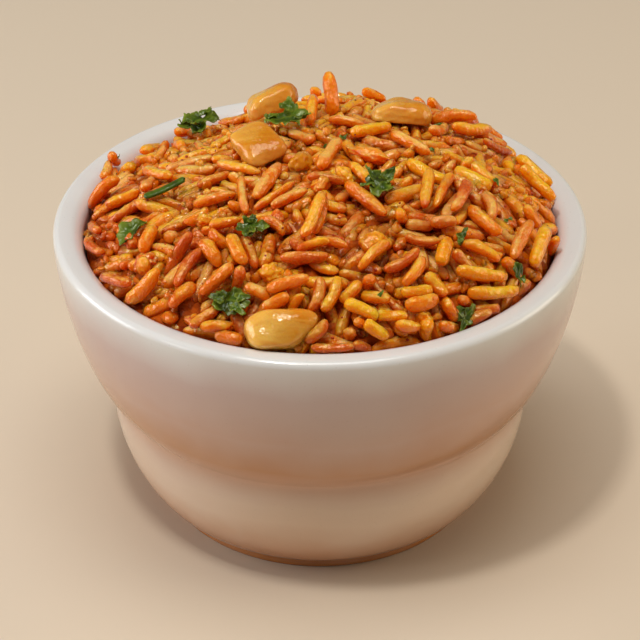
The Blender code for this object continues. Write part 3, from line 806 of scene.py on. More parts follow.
@dataclass(frozen=True)
class HeapForm:
    """The heap's surface: the mean height of the grain tops, and its slopes."""

    radius: float = 43.2 * MM
    edge: float = 57.4 * MM
    rise: float = 15.2 * MM
    power_in: float = 2.3
    power_out: float = 0.75
    crest_x: float = 12.0 * MM
    dip_depth: float = 3.0 * MM
    dip_x: float = -24.0 * MM
    dip_y: float = 26.0 * MM
    dip_spread: float = 11.0 * MM
    slope_step: float = 0.4 * MM

    def share(self, x: np.ndarray, y: np.ndarray) -> np.ndarray:
        """How far each place lies from the crest towards the wall.

        Args:
            x: First coordinates.
            y: Second coordinates.

        Returns:
            Shares, 0 at the crest and 1 at the wall.
        """
        across = x - self.crest_x
        scale = self.radius**2 - self.crest_x**2
        along = across * self.crest_x
        return (along + np.sqrt(along * along + scale * (across * across + y * y))) / scale

    def height(self, x: np.ndarray, y: np.ndarray) -> np.ndarray:
        """Mean height of the grain tops.

        Args:
            x: First coordinates.
            y: Second coordinates.

        Returns:
            The heights.
        """
        share = np.minimum(1.0, self.share(x, y))
        dome = self.rise * np.maximum(0.0, 1.0 - share**self.power_in) ** self.power_out
        away = (x - self.dip_x) ** 2 + (y - self.dip_y) ** 2
        return self.edge + dome - self.dip_depth * np.exp(-away / (2.0 * self.dip_spread**2))

    def surface(self, x: float, y: float) -> tuple[Vector, Vector]:
        """Point and outward normal of the surface.

        Args:
            x: First coordinate.
            y: Second coordinate.

        Returns:
            The point and the normal.
        """
        step = self.slope_step
        slope_x = (self.height(x + step, y) - self.height(x - step, y)) / (2.0 * step)
        slope_y = (self.height(x, y + step) - self.height(x, y - step)) / (2.0 * step)
        normal = Vector((-float(slope_x), -float(slope_y), 1.0)).normalized()
        return Vector((x, y, float(self.height(x, y)))), normal


@dataclass(frozen=True)
class SightLines:
    """Sight lines from the photograph's viewpoint through its picture, 640 pixels square."""

    eye: tuple[float, float, float] = EYE
    look_down: float = 33.54
    focal_pixels: float = 2312.0
    middle: tuple[float, float] = (319.4, 349.9)
    near: float = 0.30
    far: float = 0.56
    samples: int = 2600

    def direction(self, across: float, down: float) -> np.ndarray:
        """Direction of the line through a pixel, one long along the view's axis.

        Args:
            across: Pixel from the left.
            down: Pixel from the top.

        Returns:
            The direction.
        """
        tip = math.radians(self.look_down)
        forward = np.array((0.0, math.cos(tip), -math.sin(tip)))
        upward = np.array((0.0, math.sin(tip), math.cos(tip)))
        right = (across - self.middle[0]) / self.focal_pixels
        rise = (down - self.middle[1]) / self.focal_pixels
        return forward + right * np.array((1.0, 0.0, 0.0)) - rise * upward

    def meet(self, form: HeapForm, across: float, down: float, lift: float) -> np.ndarray:
        """Where a sight line first meets the heap's surface, or passes nearest over it.

        Args:
            form: The heap.
            across: Pixel from the left.
            down: Pixel from the top.
            lift: How far over the surface, along Z.

        Returns:
            The point.
        """
        line = self.direction(across, down)
        steps = np.linspace(self.near, self.far, self.samples)
        points = np.array(self.eye) + steps[:, None] * line
        x, y, z = points.T
        away = np.hypot(x, y)
        over = np.where(away < form.radius, z - form.height(x, y) - lift, 1.0 + away)
        below = np.nonzero(over < 0.0)[0]
        return points[below[0] if len(below) else int(np.argmin(over))]

    def reach(
        self, start: np.ndarray, across: float, down: float, guess: np.ndarray, length: float, deeper: bool
    ) -> np.ndarray:
        """The point on a sight line that lies this far from another point.

        Args:
            start: The other point.
            across: Pixel from the left.
            down: Pixel from the top.
            guess: A point on the line.
            length: The distance wanted.
            deeper: Whether the farther of the two answers is wanted.

        Returns:
            The point, or the line's nearest where none lies that far.
        """
        line = self.direction(across, down)
        unit = line / np.linalg.norm(line)
        foot = guess + unit * float((start - guess) @ unit)
        aside = float(np.linalg.norm(start - foot))
        if aside >= length:
            return foot
        step = math.sqrt(length * length - aside * aside)
        if deeper or float((guess - foot) @ unit) > 0.0:
            return foot + unit * step
        return foot - unit * step


def in_surface(normal: Vector, turn: float) -> tuple[Vector, Vector]:
    """Two axes in a surface, the first turned by this many degrees from +X.

    Args:
        normal: The surface's normal.
        turn: The turn in degrees.

    Returns:
        The axis along and the axis to its side.
    """
    along = Vector((math.cos(math.radians(turn)), math.sin(math.radians(turn)), 0.0))
    along = (along - normal * along.dot(normal)).normalized()
    return along, normal.cross(along)


def piece_from(name: str, bm: bmesh.types.BMesh, material: bpy.types.Material) -> bpy.types.Object:
    """A smooth-shaded object from finished geometry.

    Args:
        name: Its name.
        bm: The geometry, which is freed.
        material: Its finish.

    Returns:
        The object.
    """
    mesh = bpy.data.meshes.new(name)
    bm.normal_update()
    bm.to_mesh(mesh)
    bm.free()
    mesh.materials.append(material)
    mesh.shade_smooth()
    made = bpy.data.objects.new(name, mesh)
    bpy.context.scene.collection.objects.link(made)
    return made


def seat(piece: bpy.types.Object, node: str) -> bpy.types.Object:
    """Let a piece stand for its node on the one body, and log how many triangles it has.

    Args:
        piece: The piece.
        node: The node that it stands for.

    Returns:
        The same piece.
    """
    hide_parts(node)
    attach(piece, "root")
    piece.data.calc_loop_triangles()
    LOG.info("%s: %d triangles", piece.name, len(piece.data.loop_triangles))
    return piece


def vector_rows(mesh: bpy.types.Mesh, key: str) -> np.ndarray:
    """A vector of each of a mesh's points, such as its place, as rows."""
    rows = np.empty(len(mesh.vertices) * 3)
    mesh.vertices.foreach_get(key, rows)
    return rows.reshape(-1, 3)


def mark(mesh: bpy.types.Mesh, **marks: np.ndarray) -> None:
    """Store named values on a mesh's points."""
    for name, values in marks.items():
        mesh.attributes.new(name, "FLOAT", "POINT").data.foreach_set("value", values)


# The bowl


@dataclass
class CeramicBowl:
    """The turned ceramic bowl."""

    section: BowlSection
    glaze: IvoryGlaze
    turns: int = 160
    weld: float = 0.002 * MM

    def turning_tree(self) -> TreeDesk:
        """A tree that turns a section round the upright axis.

        Returns:
            The tree.
        """
        desk = TreeDesk("turned_section")
        section = desk.source.outputs[0]
        turns = desk.input("Turns", "Int", self.turns)
        weld = desk.input("Weld", "Float", self.weld)
        finish = desk.input("Finish", "Material", self.glaze.material())
        size = desk.node("GeometryNodeAttributeDomainSize", {0: section})
        across = desk.math("ADD", turns, 1.0)
        cells = {"Vertices X": size.outputs["Point Count"], "Vertices Y": across}
        grid = desk.node("GeometryNodeMeshGrid", cells).outputs["Mesh"]
        index = desk.node("GeometryNodeInputIndex").outputs[0]
        station = desk.math("FLOOR", desk.math("DIVIDE", desk.math("ADD", index, 0.5), across))
        step = desk.math("SUBTRACT", index, desk.math("MULTIPLY", station, across))
        angle = desk.math("MULTIPLY", desk.math("DIVIDE", step, turns), FULL_TURN)
        place = desk.node("GeometryNodeInputPosition").outputs[0]
        picked = {"Geometry": section, "Value": place, "Index": station}
        sample = desk.node("GeometryNodeSampleIndex", picked, data_type="FLOAT_VECTOR")
        parts = desk.parts(sample.outputs[0])
        turned = {
            "X": desk.math("MULTIPLY", parts["X"], desk.math("COSINE", angle)),
            "Y": desk.math("MULTIPLY", parts["X"], desk.math("SINE", angle)),
            "Z": parts["Z"],
        }
        shell = desk.moved(grid, Position=desk.node("ShaderNodeCombineXYZ", turned).outputs[0])
        merge = desk.node("GeometryNodeMergeByDistance", {"Geometry": shell, "Distance": weld})
        desk.close(merge.outputs[0], finish)
        return desk

    def build(self) -> bpy.types.Object:
        """Turn the bowl.

        Returns:
            The piece.
        """
        outline = self.section.outline()
        edges = [(i, i + 1) for i in range(len(outline) - 1)]
        mesh = bpy.data.meshes.new("bowl_section")
        mesh.from_pydata([(r, 0.0, z) for r, z in outline], edges, [])
        piece = self.turning_tree().grow("ceramic_bowl", mesh)
        bm = bmesh.new()
        bm.from_mesh(piece.data)
        bmesh.ops.recalc_face_normals(bm, faces=bm.faces)
        bm.to_mesh(piece.data)
        bm.free()
        return seat(piece, "bowl")


# What lies on the rice


def merged(node: str) -> bmesh.types.BMesh:
    """A copy of a CAD node's mesh with its loose triangles joined."""
    bm = bmesh.new()
    bm.from_mesh(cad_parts[node].data)
    bmesh.ops.remove_doubles(bm, verts=bm.verts, dist=WELD)
    return bm


@dataclass
class OnionPiece:
    """A piece of cooked onion: its node's form with flatter faces, soft edges and fine layers."""

    node: str
    amber: float
    point: float
    finish: bpy.types.Material
    levels: int = 3
    boxing: float = 3.0
    boxed: float = 0.18
    layer_depth: float = 0.03 * MM
    layer_width: float = 1.5 * MM
    dent: float = 0.7 * MM
    dent_size: float = 4.6 * MM

    def build(self) -> bpy.types.Object:
        """Round the node's form, flatten its faces and ripple its surface.

        Returns:
            The piece.
        """
        piece = piece_from(f"{self.node}_piece", merged(self.node), self.finish)
        rounder = piece.modifiers.new("rounder", "SUBSURF")
        rounder.levels = self.levels
        rounder.render_levels = self.levels
        graph = bpy.context.evaluated_depsgraph_get()
        mesh = bpy.data.meshes.new_from_object(piece.evaluated_get(graph), depsgraph=graph)
        piece.modifiers.clear()
        piece.data = mesh
        places, normals = vector_rows(mesh, "co"), vector_rows(mesh, "normal")
        centre = places.mean(axis=0)
        axes = np.linalg.svd(places - centre, full_matrices=False)[2]
        axes[0] *= math.copysign(1.0, axes[0][0])
        own = (places - centre) @ axes.T
        half = np.abs(own).max(axis=0)
        share = own / half
        boxy = (np.abs(share) ** self.boxing).sum(axis=1) ** (1.0 / self.boxing) + 1e-6
        round_share = np.sqrt((share**2).sum(axis=1)) + 1e-6
        own = own * (1.0 + self.boxed * (np.clip(round_share / boxy, 1.0, 1.25) - 1.0))[:, None]
        tip = self.point * np.clip(share[:, 0], 0.0, 1.0) ** 2
        own[:, 1:] *= (1.0 - 0.5 * tip)[:, None]
        places = centre + own @ axes
        places[:, 2] += 0.5 * half[2] * tip
        wave = FULL_TURN / self.layer_width
        lift = self.layer_depth * np.sin(wave * own[:, 2] + 2.0 * share[:, 0])
        start = Vector((sum(map(ord, self.node)), 0.0, 0.0))
        dents = [noise.noise(start + Vector(p) / self.dent_size) for p in places]
        places = places + normals * (lift + self.dent * np.array(dents))[:, None]
        mesh.vertices.foreach_set("co", places.ravel())
        mark(mesh, reach=self.amber + 0.5 * share[:, 0], rim=np.hypot(share[:, 0], share[:, 1]))
        mesh.update()
        return seat(piece, self.node)


# Node, how amber it is and how far its right end is drawn to a point
ONIONS = (
    ("onion_front", 0.34, 0.85),
    ("onion_left", 0.78, 0.0),
    ("onion_crown_left", 0.62, 0.4),
    ("onion_crown_right", 0.50, 0.0),
)


class LeafCut(Enum):
    """How a piece of herb was cut."""

    CURLY = "curly leaf"
    FLAT = "flat leaf"
    STRIP = "strip"


@dataclass(frozen=True)
class LeafSheets:
    """Thin crumpled sheets of leaf with a cut and lobed outline."""

    thickness: float = 0.30 * MM
    rings: int = 9
    points: int = 72
    crumple: float = 0.9 * MM
    crumple_size: float = 1.7 * MM

    def outline(self, lobes: int, rng: random.Random) -> list[float]:
        """How far a leaf's edge reaches at each of its points.

        Args:
            lobes: How many lobes it has, or 0 for a pointed oval.
            rng: Draws for its shape.

        Returns:
            Shares of the half sizes.
        """
        if lobes:
            turns = [FULL_TURN * (i + rng.uniform(-0.22, 0.22)) / lobes for i in range(lobes)]
            sizes = [rng.uniform(0.84, 1.08) for _ in range(lobes)]
        start = rng.uniform(0.0, 1.0)
        edge = []
        for i in range(self.points):
            angle = FULL_TURN * i / self.points
            tooth = abs((3.5 * lobes * i / self.points + start) % 1.0 - 0.5) if lobes else 0.0
            if lobes:
                reach = 0.56
                for turn, size in zip(turns, sizes):
                    off = math.remainder(angle - turn, FULL_TURN)
                    reach = max(reach, 0.58 + (size - 0.58) * math.exp(-((off / 0.55) ** 4)))
            else:
                reach = 1.0 / (abs(math.cos(angle)) ** 1.35 + abs(math.sin(angle)) ** 1.35) ** 0.74
                reach *= 1.0 + 0.05 * math.sin(7.0 * angle + 6.0 * start)
            edge.append(reach * (1.0 - 0.22 * tooth))
        return edge

    def sheet(self, bm: bmesh.types.BMesh, place: Place, edge: list[float], shift: float) -> None:
        """Add one crumpled sheet, closed round its edge.

        Args:
            bm: The geometry that it joins.
            place: Gives the point and the normal of two shares along and across the leaf.
            edge: How far its edge reaches at each point.
            shift: Where its crumples start.
        """
        edge_layer = bm.verts.layers.float["edge"]
        vein_layer = bm.verts.layers.float["vein"]
        below, above = [], []
        for ring in range(self.rings + 1):
            share = ring / self.rings
            low_row, high_row = [], []
            for i in range(self.points if ring else 1):
                angle = FULL_TURN * i / self.points
                u, v = edge[i] * share * math.cos(angle), edge[i] * share * math.sin(angle)
                point, normal = place(u, v)
                seed_place = Vector((point.x, point.y, shift)) / self.crumple_size
                rise = noise.noise(seed_place) + 0.5 * abs(noise.noise(2.1 * seed_place))
                point = point + normal * (self.crumple * rise * (0.4 + share))
                thick = self.thickness * (1.0 - 0.6 * share)
                for row, side in ((low_row, -0.5), (high_row, 0.5)):
                    vert = bm.verts.new(point + normal * (side * thick))
                    vert[edge_layer] = share
                    vert[vein_layer] = max(0.0, 1.0 - abs(v) * 8.0)
                    row.append(vert)
            below.append(low_row)
            above.append(high_row)
        for i in range(self.points):
            j = (i + 1) % self.points
            bm.faces.new((below[0][0], below[1][j], below[1][i]))
            bm.faces.new((above[0][0], above[1][i], above[1][j]))
            for ring in range(1, self.rings):
                bm.faces.new((below[ring][i], below[ring][j], below[ring + 1][j], below[ring + 1][i]))
                bm.faces.new((above[ring][i], above[ring + 1][i], above[ring + 1][j], above[ring][j]))
            bm.faces.new((below[-1][i], below[-1][j], above[-1][j], above[-1][i]))


def leaf_geometry() -> bmesh.types.BMesh:
    """Empty geometry with the two values that the leaf's finish reads."""
    bm = bmesh.new()
    for name in ("edge", "vein"):
        bm.verts.layers.float.new(name)
    return bm


@dataclass
class HerbPiece:
    """A chopped leaf or strip."""

    node: str
    x: float
    y: float
    length: float
    width: float
    turn: float
    cut: LeafCut
    lobes: int
    folded: int
    finish: bpy.types.Material
    form: HeapForm
    sheets: LeafSheets = LeafSheets()
    thickness: float = 0.9 * MM
    ray_start_mm: float = 12.0
    fold_rise: float = 0.35
    foot_share: float = 0.32
    leaflet_tilt: tuple[float, float] = (18.0, 48.0)
    leaflet_size: tuple[float, float] = (0.42, 0.56)
    strip_steps: int = 26
    strip_sides: int = 12
    strip_sway: float = 0.12 * MM
    strip_bow: float = 0.2 * MM

    def leaf(self) -> bmesh.types.BMesh:
        """A leaf laid on the top of its node's form, with small leaflets folded up on it.

        Returns:
            The geometry.
        """
        rng = random.Random(self.node)
        shape = merged(self.node)
        tree = BVHTree.FromBMesh(shape)
        shape.free()
        middle, normal = self.form.surface(self.x * MM, self.y * MM)
        along, side = in_surface(normal, self.turn)
        half_long, half_wide = 0.5 * self.length * MM, 0.5 * self.width * MM
        bm = leaf_geometry()

        def laid(u: float, v: float) -> tuple[Vector, Vector]:
            """Point and normal on the top of the node's form."""
            flat = middle + along * (half_long * u) + side * (half_wide * v)
            hit = tree.ray_cast(flat + normal * self.ray_start_mm * MM, -normal)[0]
            if hit is None:
                hit = tree.find_nearest(flat)[0]
                hit = flat + normal * (hit - flat).dot(normal)
            fold = self.fold_rise * abs(v) * half_wide if not self.lobes else 0.0
            return hit + normal * fold, normal

        sheets = self.sheets
        sheets.sheet(bm, laid, sheets.outline(self.lobes, rng), rng.uniform(0.0, 9.0))
        for i in range(self.folded):
            spin = FULL_TURN * (i + rng.uniform(0.1, 0.9)) / self.folded
            cosine, sine = math.cos(spin), math.sin(spin)
            foot, _ = laid(self.foot_share * cosine, self.foot_share * sine)
            outward = (along * (half_long * cosine) + side * (half_wide * sine)).normalized()
            tip = math.radians(rng.uniform(*self.leaflet_tilt))
            main = outward * math.cos(tip) + normal * math.sin(tip)
            out = normal * math.cos(tip) - outward * math.sin(tip)
            across = out.cross(main)
            size = 0.5 * (half_long + half_wide) * rng.uniform(*self.leaflet_size)

            def folded(u: float, v: float) -> tuple[Vector, Vector]:
                """Point and normal on a leaflet that stands up from its foot."""
                cup = 0.30 * size * (v * v - 0.4 * (u + 0.8) ** 2)
                return foot + main * (size * (u + 0.8)) + across * (0.8 * size * v) + out * cup, out

            sheets.sheet(bm, folded, sheets.outline(3, rng), rng.uniform(0.0, 9.0))
        return bm

    def strip(self) -> bmesh.types.BMesh:
        """A narrow strip, cambered and bowed.

        Returns:
            The geometry.
        """
        point, normal = self.form.surface(self.x * MM, self.y * MM)
        along, side = in_surface(normal, self.turn)
        bm = leaf_geometry()
        vein_layer = bm.verts.layers.float["vein"]
        loops = []
        around = self.strip_sides
        for i in range(self.strip_steps):
            share = 2.0 * i / (self.strip_steps - 1) - 1.0
            taper = math.sqrt(max(0.0, 1.0 - abs(share) ** 16.0))
            centre = point + along * (0.5 * self.length * MM * share)
            sway = self.strip_sway * math.sin(3.0 * share + self.turn)
            lift = self.strip_bow * share * share + 0.5 * self.thickness
            centre = centre + normal * lift + side * sway
            loop = []
            for j in range(around):
                angle = FULL_TURN * j / around
                across = 0.5 * self.width * MM * taper * math.cos(angle)
                camber = self.strip_sway * (1.0 - math.cos(angle) ** 2)
                up = 0.5 * self.thickness * max(taper, 0.2) * math.sin(angle) + camber
                vert = bm.verts.new(centre + side * across + normal * up)
                vert[vein_layer] = 0.5 * max(0.0, math.sin(angle)) ** 8
                loop.append(vert)
            loops.append(loop)
        for first, second in zip(loops, loops[1:]):
            for j in range(around):
                k = (j + 1) % around
                bm.faces.new((first[j], first[k], second[k], second[j]))
        bm.faces.new(loops[0][::-1])
        bm.faces.new(loops[-1])
        bmesh.ops.recalc_face_normals(bm, faces=bm.faces)
        return bm

    def build(self) -> bpy.types.Object:
        """Make the piece."""
        bm = self.strip() if self.cut is LeafCut.STRIP else self.leaf()
        return seat(piece_from(f"{self.node}_piece", bm, self.finish), self.node)


# Node, x, y, length, width in mm, turn in degrees, cut, lobes and folded leaflets
HERBS = (
    ("parsley_back_left", -22.4, 26.4, 8.4, 6.6, 10.0, LeafCut.CURLY, 4, 3),
    ("parsley_crown", -5.8, 11.8, 9.6, 6.6, 8.0, LeafCut.CURLY, 5, 3),
    ("parsley_left", -33.4, -14.0, 6.8, 4.8, 40.0, LeafCut.FLAT, 0, 0),
    ("parsley_mid_left", -11.9, -22.0, 6.6, 5.0, -12.0, LeafCut.CURLY, 4, 2),
    ("parsley_front_left", -15.2, -35.4, 7.8, 5.6, -25.0, LeafCut.CURLY, 5, 3),
    ("parsley_right", 10.6, -13.3, 7.0, 6.8, 60.0, LeafCut.CURLY, 4, 3),
    ("parsley_front_right", 24.9, -34.6, 5.8, 4.0, 75.0, LeafCut.CURLY, 3, 2),
    ("chive_left", -27.7, -5.6, 8.2, 1.8, 12.0, LeafCut.STRIP, 0, 0),
    ("parsley_strip_right", 24.4, -22.6, 5.0, 2.2, 70.0, LeafCut.CURLY, 3, 1),
    ("parsley_rim_right", 34.4, -23.4, 5.4, 2.8, -62.0, LeafCut.CURLY, 3, 1),
)


# The rice


class GrainKind(Enum):
    """The kinds of grain that differ in colour."""

    GOLDEN = "golden"
    TAN = "tan"
    BROWN = "brown"
    CUT = "cut"


# Grains that show from the front: the pixels of their two ends, their width in mm,
# their kind (g golden, t tan, b brown, c golden with cut ends) and how many layers down
# they lie. The second end is the one that dives.
TRACED_GRAINS = (
    (170, 133, 200, 133, 2.1, "t", 0), (174, 142, 199, 149, 2.1, "g", 1), (206, 147, 226, 133, 1.9, "g", 1),
    (214, 154, 237, 137, 2.5, "b", 1), (200, 143, 209, 161, 2.0, "t", 0), (234, 160, 265, 119, 2.6, "g", 0),
    (216, 128, 248, 119, 2.0, "g", 0), (138, 154, 171, 150, 2.3, "g", 0), (128, 163, 168, 165, 2.4, "g", 1),
    (101, 180, 114, 163, 2.1, "t", 0), (108, 159, 126, 168, 2.2, "t", 0), (114, 176, 120, 199, 2.1, "t", 1),
    (142, 190, 156, 179, 2.3, "t", 0), (108, 206, 140, 196, 2.3, "g", 0), (138, 203, 183, 224, 2.7, "g", 0),
    (162, 176, 212, 166, 2.2, "g", 1), (217, 163, 258, 175, 2.1, "g", 0), (198, 188, 236, 178, 2.2, "b", 1),
    (193, 205, 237, 196, 2.2, "t", 0), (240, 180, 245, 213, 2.0, "t", 0), (255, 199, 279, 167, 2.6, "t", 0),
    (254, 209, 294, 182, 1.7, "g", 0), (272, 209, 306, 190, 2.3, "t", 0), (185, 225, 210, 211, 1.9, "g", 0),
    (209, 226, 242, 220, 2.0, "g", 0), (158, 200, 190, 212, 2.2, "g", 1), (316, 88, 313, 112, 2.3, "g", 1),
    (283, 108, 320, 106, 2.0, "g", 1), (298, 117, 309, 156, 2.4, "g", 0), (322, 124, 315, 163, 2.3, "b", 1),
    (268, 129, 290, 142, 2.3, "g", 1), (340, 118, 361, 99, 2.0, "g", 1), (362, 91, 384, 101, 2.0, "g", 0),
    (332, 121, 358, 131, 2.3, "t", 0), (350, 136, 390, 128, 2.5, "c", 0), (317, 173, 340, 137, 2.7, "t", 0),
    (352, 166, 377, 188, 2.4, "g", 0), (308, 176, 343, 183, 1.9, "b", 0), (387, 136, 428, 160, 2.5, "t", 0),
    (388, 154, 406, 163, 2.2, "g", 1), (430, 137, 448, 127, 2.3, "t", 0), (470, 134, 504, 151, 2.3, "t", 0),
    (474, 150, 511, 159, 1.9, "b", 1), (484, 129, 498, 141, 2.0, "g", 1), (441, 159, 481, 168, 2.1, "g", 0),
    (428, 171, 421, 213, 2.5, "g", 0), (447, 170, 439, 213, 2.0, "g", 0), (466, 180, 450, 213, 2.2, "t", 0),
    (470, 166, 491, 188, 2.3, "g", 0), (500, 159, 491, 178, 2.2, "t", 1), (484, 194, 494, 221, 2.2, "t", 0),
    (463, 210, 498, 240, 2.8, "g", 0), (520, 207, 534, 228, 2.2, "g", 0), (551, 204, 545, 232, 2.1, "b", 0),
    (347, 186, 385, 219, 2.6, "g", 0), (320, 202, 345, 214, 2.2, "g", 1), (325, 197, 313, 232, 2.4, "g", 0),
    (316, 188, 356, 209, 2.3, "b", 2), (397, 180, 418, 187, 2.1, "b", 1), (400, 208, 423, 222, 2.3, "t", 1),
    (158, 228, 143, 254, 2.8, "g", 0), (172, 236, 172, 249, 2.8, "t", 0), (156, 255, 167, 270, 2.4, "g", 0),
    (143, 262, 147, 276, 2.8, "g", 0), (122, 267, 142, 258, 1.9, "t", 0), (118, 252, 138, 250, 2.2, "g", 1),
    (191, 237, 167, 278, 2.4, "b", 1), (201, 251, 180, 290, 2.3, "b", 1), (230, 236, 242, 265, 2.5, "g", 0),
    (212, 239, 226, 248, 2.5, "g", 0), (204, 243, 222, 264, 2.6, "g", 1), (247, 236, 256, 266, 2.1, "b", 1),
    (261, 250, 279, 256, 2.3, "b", 1), (233, 264, 200, 295, 2.7, "t", 0), (243, 268, 233, 292, 2.2, "b", 1),
    (266, 290, 311, 277, 2.5, "t", 0), (279, 259, 328, 258, 2.5, "b", 1), (296, 250, 330, 240, 1.8, "c", 0),
    (325, 200, 305, 240, 2.4, "g", 0), (195, 284, 168, 306, 2.8, "g", 0), (105, 277, 133, 284, 2.3, "b", 0),
    (101, 268, 114, 253, 1.9, "g", 0), (117, 287, 136, 294, 2.4, "t", 1), (149, 310, 164, 300, 2.4, "t", 0),
    (170, 317, 184, 303, 2.2, "b", 1), (192, 328, 217, 303, 2.3, "b", 0), (200, 326, 232, 327, 2.1, "g", 0),
    (214, 337, 241, 338, 2.3, "g", 0), (238, 302, 228, 322, 2.6, "g", 0), (246, 285, 269, 299, 2.1, "t", 0),
    (263, 308, 288, 296, 2.4, "t", 0), (286, 311, 307, 296, 1.8, "g", 1), (322, 279, 312, 313, 2.3, "b", 0),
    (306, 343, 327, 321, 2.3, "b", 0), (96, 218, 106, 239, 2.3, "t", 1), (311, 243, 350, 243, 1.9, "t", 0),
    (323, 227, 338, 234, 2.4, "b", 1), (343, 214, 362, 225, 2.3, "t", 1), (392, 232, 408, 237, 2.1, "b", 1),
    (404, 238, 438, 243, 2.1, "b", 0), (446, 240, 436, 266, 2.8, "c", 0), (452, 252, 464, 268, 2.2, "b", 0),
    (462, 242, 498, 261, 2.3, "g", 0), (503, 241, 498, 257, 1.7, "t", 1), (525, 226, 510, 258, 2.6, "t", 0),
    (540, 233, 527, 262, 2.8, "c", 0), (558, 239, 541, 243, 2.4, "g", 0), (498, 257, 516, 274, 2.2, "g", 1),
    (456, 270, 506, 278, 2.6, "c", 0), (467, 294, 516, 291, 2.6, "c", 0), (452, 284, 468, 294, 2.1, "t", 1),
    (426, 277, 444, 294, 2.4, "g", 0), (399, 291, 431, 292, 2.0, "c", 0), (386, 272, 419, 253, 2.2, "b", 0),
    (418, 259, 402, 288, 2.4, "g", 1), (372, 274, 362, 290, 2.3, "t", 0), (386, 241, 358, 268, 2.2, "g", 0),
    (373, 268, 391, 260, 2.0, "t", 1), (331, 250, 341, 265, 2.2, "t", 1), (340, 279, 324, 313, 2.4, "g", 0),
    (319, 285, 313, 311, 1.9, "t", 1), (344, 303, 378, 318, 2.5, "c", 0), (341, 302, 358, 287, 2.2, "g", 1),
    (360, 297, 390, 301, 2.2, "g", 1), (374, 314, 406, 318, 2.2, "c", 1), (362, 323, 386, 337, 2.4, "c", 0),
    (340, 332, 358, 338, 2.3, "t", 1), (310, 348, 354, 348, 1.8, "b", 0), (356, 341, 372, 346, 2.1, "b", 1),
    (395, 323, 419, 328, 2.6, "g", 0), (423, 322, 428, 339, 2.6, "c", 0), (436, 329, 457, 318, 2.1, "t", 0),
    (404, 308, 438, 299, 2.8, "g", 1), (438, 299, 455, 313, 2.3, "g", 0), (455, 292, 470, 309, 2.0, "t", 1),
    (470, 321, 487, 310, 2.1, "b", 0), (474, 309, 497, 306, 2.1, "b", 1), (521, 270, 541, 274, 2.4, "b", 1),
    (401, 211, 407, 226, 2.5, "g", 0), (405, 225, 429, 227, 2.2, "t", 1), (430, 224, 455, 222, 2.4, "t", 0),
    (455, 230, 470, 248, 2.0, "t", 1), (384, 300, 402, 308, 2.0, "g", 1), (350, 318, 366, 330, 2.1, "t", 1),
    (276, 232, 306, 228, 2.2, "b", 2), (262, 218, 285, 231, 2.1, "g", 1), (283, 212, 312, 208, 2.3, "g", 1),
    (128, 232, 148, 222, 2.0, "g", 1), (92, 240, 104, 256, 2.0, "t", 1), (128, 172, 146, 182, 2.1, "g", 1),
    (146, 172, 170, 178, 2.1, "g", 0), (176, 188, 196, 182, 2.0, "t", 1), (180, 158, 198, 170, 2.0, "g", 1),
    (232, 172, 222, 186, 2.1, "b", 1), (262, 108, 284, 100, 2.2, "g", 1), (246, 112, 262, 104, 2.2, "g", 0),
    (396, 128, 412, 142, 2.2, "g", 1), (412, 128, 428, 138, 2.2, "t", 1), (408, 166, 424, 176, 2.2, "g", 1),
    (394, 192, 414, 200, 2.2, "t", 1), (506, 214, 520, 236, 2.1, "g", 1), (498, 196, 512, 214, 2.0, "t", 1),
    (510, 160, 524, 176, 2.1, "g", 0), (496, 146, 516, 160, 2.0, "g", 1), (452, 112, 466, 118, 2.1, "g", 0),
    (428, 102, 440, 114, 2.2, "g", 0), (446, 110, 456, 122, 2.1, "t", 0), (466, 116, 476, 126, 2.0, "g", 1),
)  # fmt: skip
# Grains that shape the outline: x, y, turn, tilt, lift, width in mm and degrees, and kind
LEADING_GRAINS = (
    (2.2, 21.0, 95.0, 62.0, 2.0, 3.1, "g"),
    (-41.2, 6.0, 170.0, 14.0, 0.9, 2.7, "g"),
    (39.6, 3.4, -20.0, 6.0, 0.7, 2.4, "c"),
    (39.2, 8.4, -28.0, 10.0, 0.8, 2.4, "c"),
    (-30.9, -28.2, 24.0, 2.0, 0.9, 2.8, "g"),
    (-1.6, 16.4, 80.0, 24.0, 0.5, 2.5, "g"),
    (24.6, 15.0, -16.0, 20.0, 1.0, 2.5, "t"),
    (28.0, 13.5, 25.0, 8.0, 0.7, 2.6, "g"),
)

# Places where more sauce stains the rice: the pixel and the reach in mm
SAUCY_SPOTS = (
    (100, 243, 6.0), (96, 205, 4.0), (203, 236, 4.0), (284, 233, 4.5), (268, 203, 3.0), (176, 302, 4.0),
    (392, 262, 3.5), (426, 214, 3.5), (372, 206, 3.0), (234, 320, 4.0), (330, 206, 3.0), (446, 300, 3.0),
    (130, 215, 4.0), (120, 275, 4.0), (350, 235, 4.0), (190, 260, 3.5), (460, 190, 3.0), (300, 250, 3.0),
)  # fmt: skip

# How far under the heap's surface the painted shade of deep rice is darkest, and how amber the onion bit is
FULLY_DEEP = 4.5 * MM
BIT_AMBER = 0.8

KIND_SHARES = {GrainKind.GOLDEN: 0.50, GrainKind.TAN: 0.24, GrainKind.BROWN: 0.16, GrainKind.CUT: 0.10}
KIND_LETTERS = {"g": GrainKind.GOLDEN, "t": GrainKind.TAN, "b": GrainKind.BROWN, "c": GrainKind.CUT}


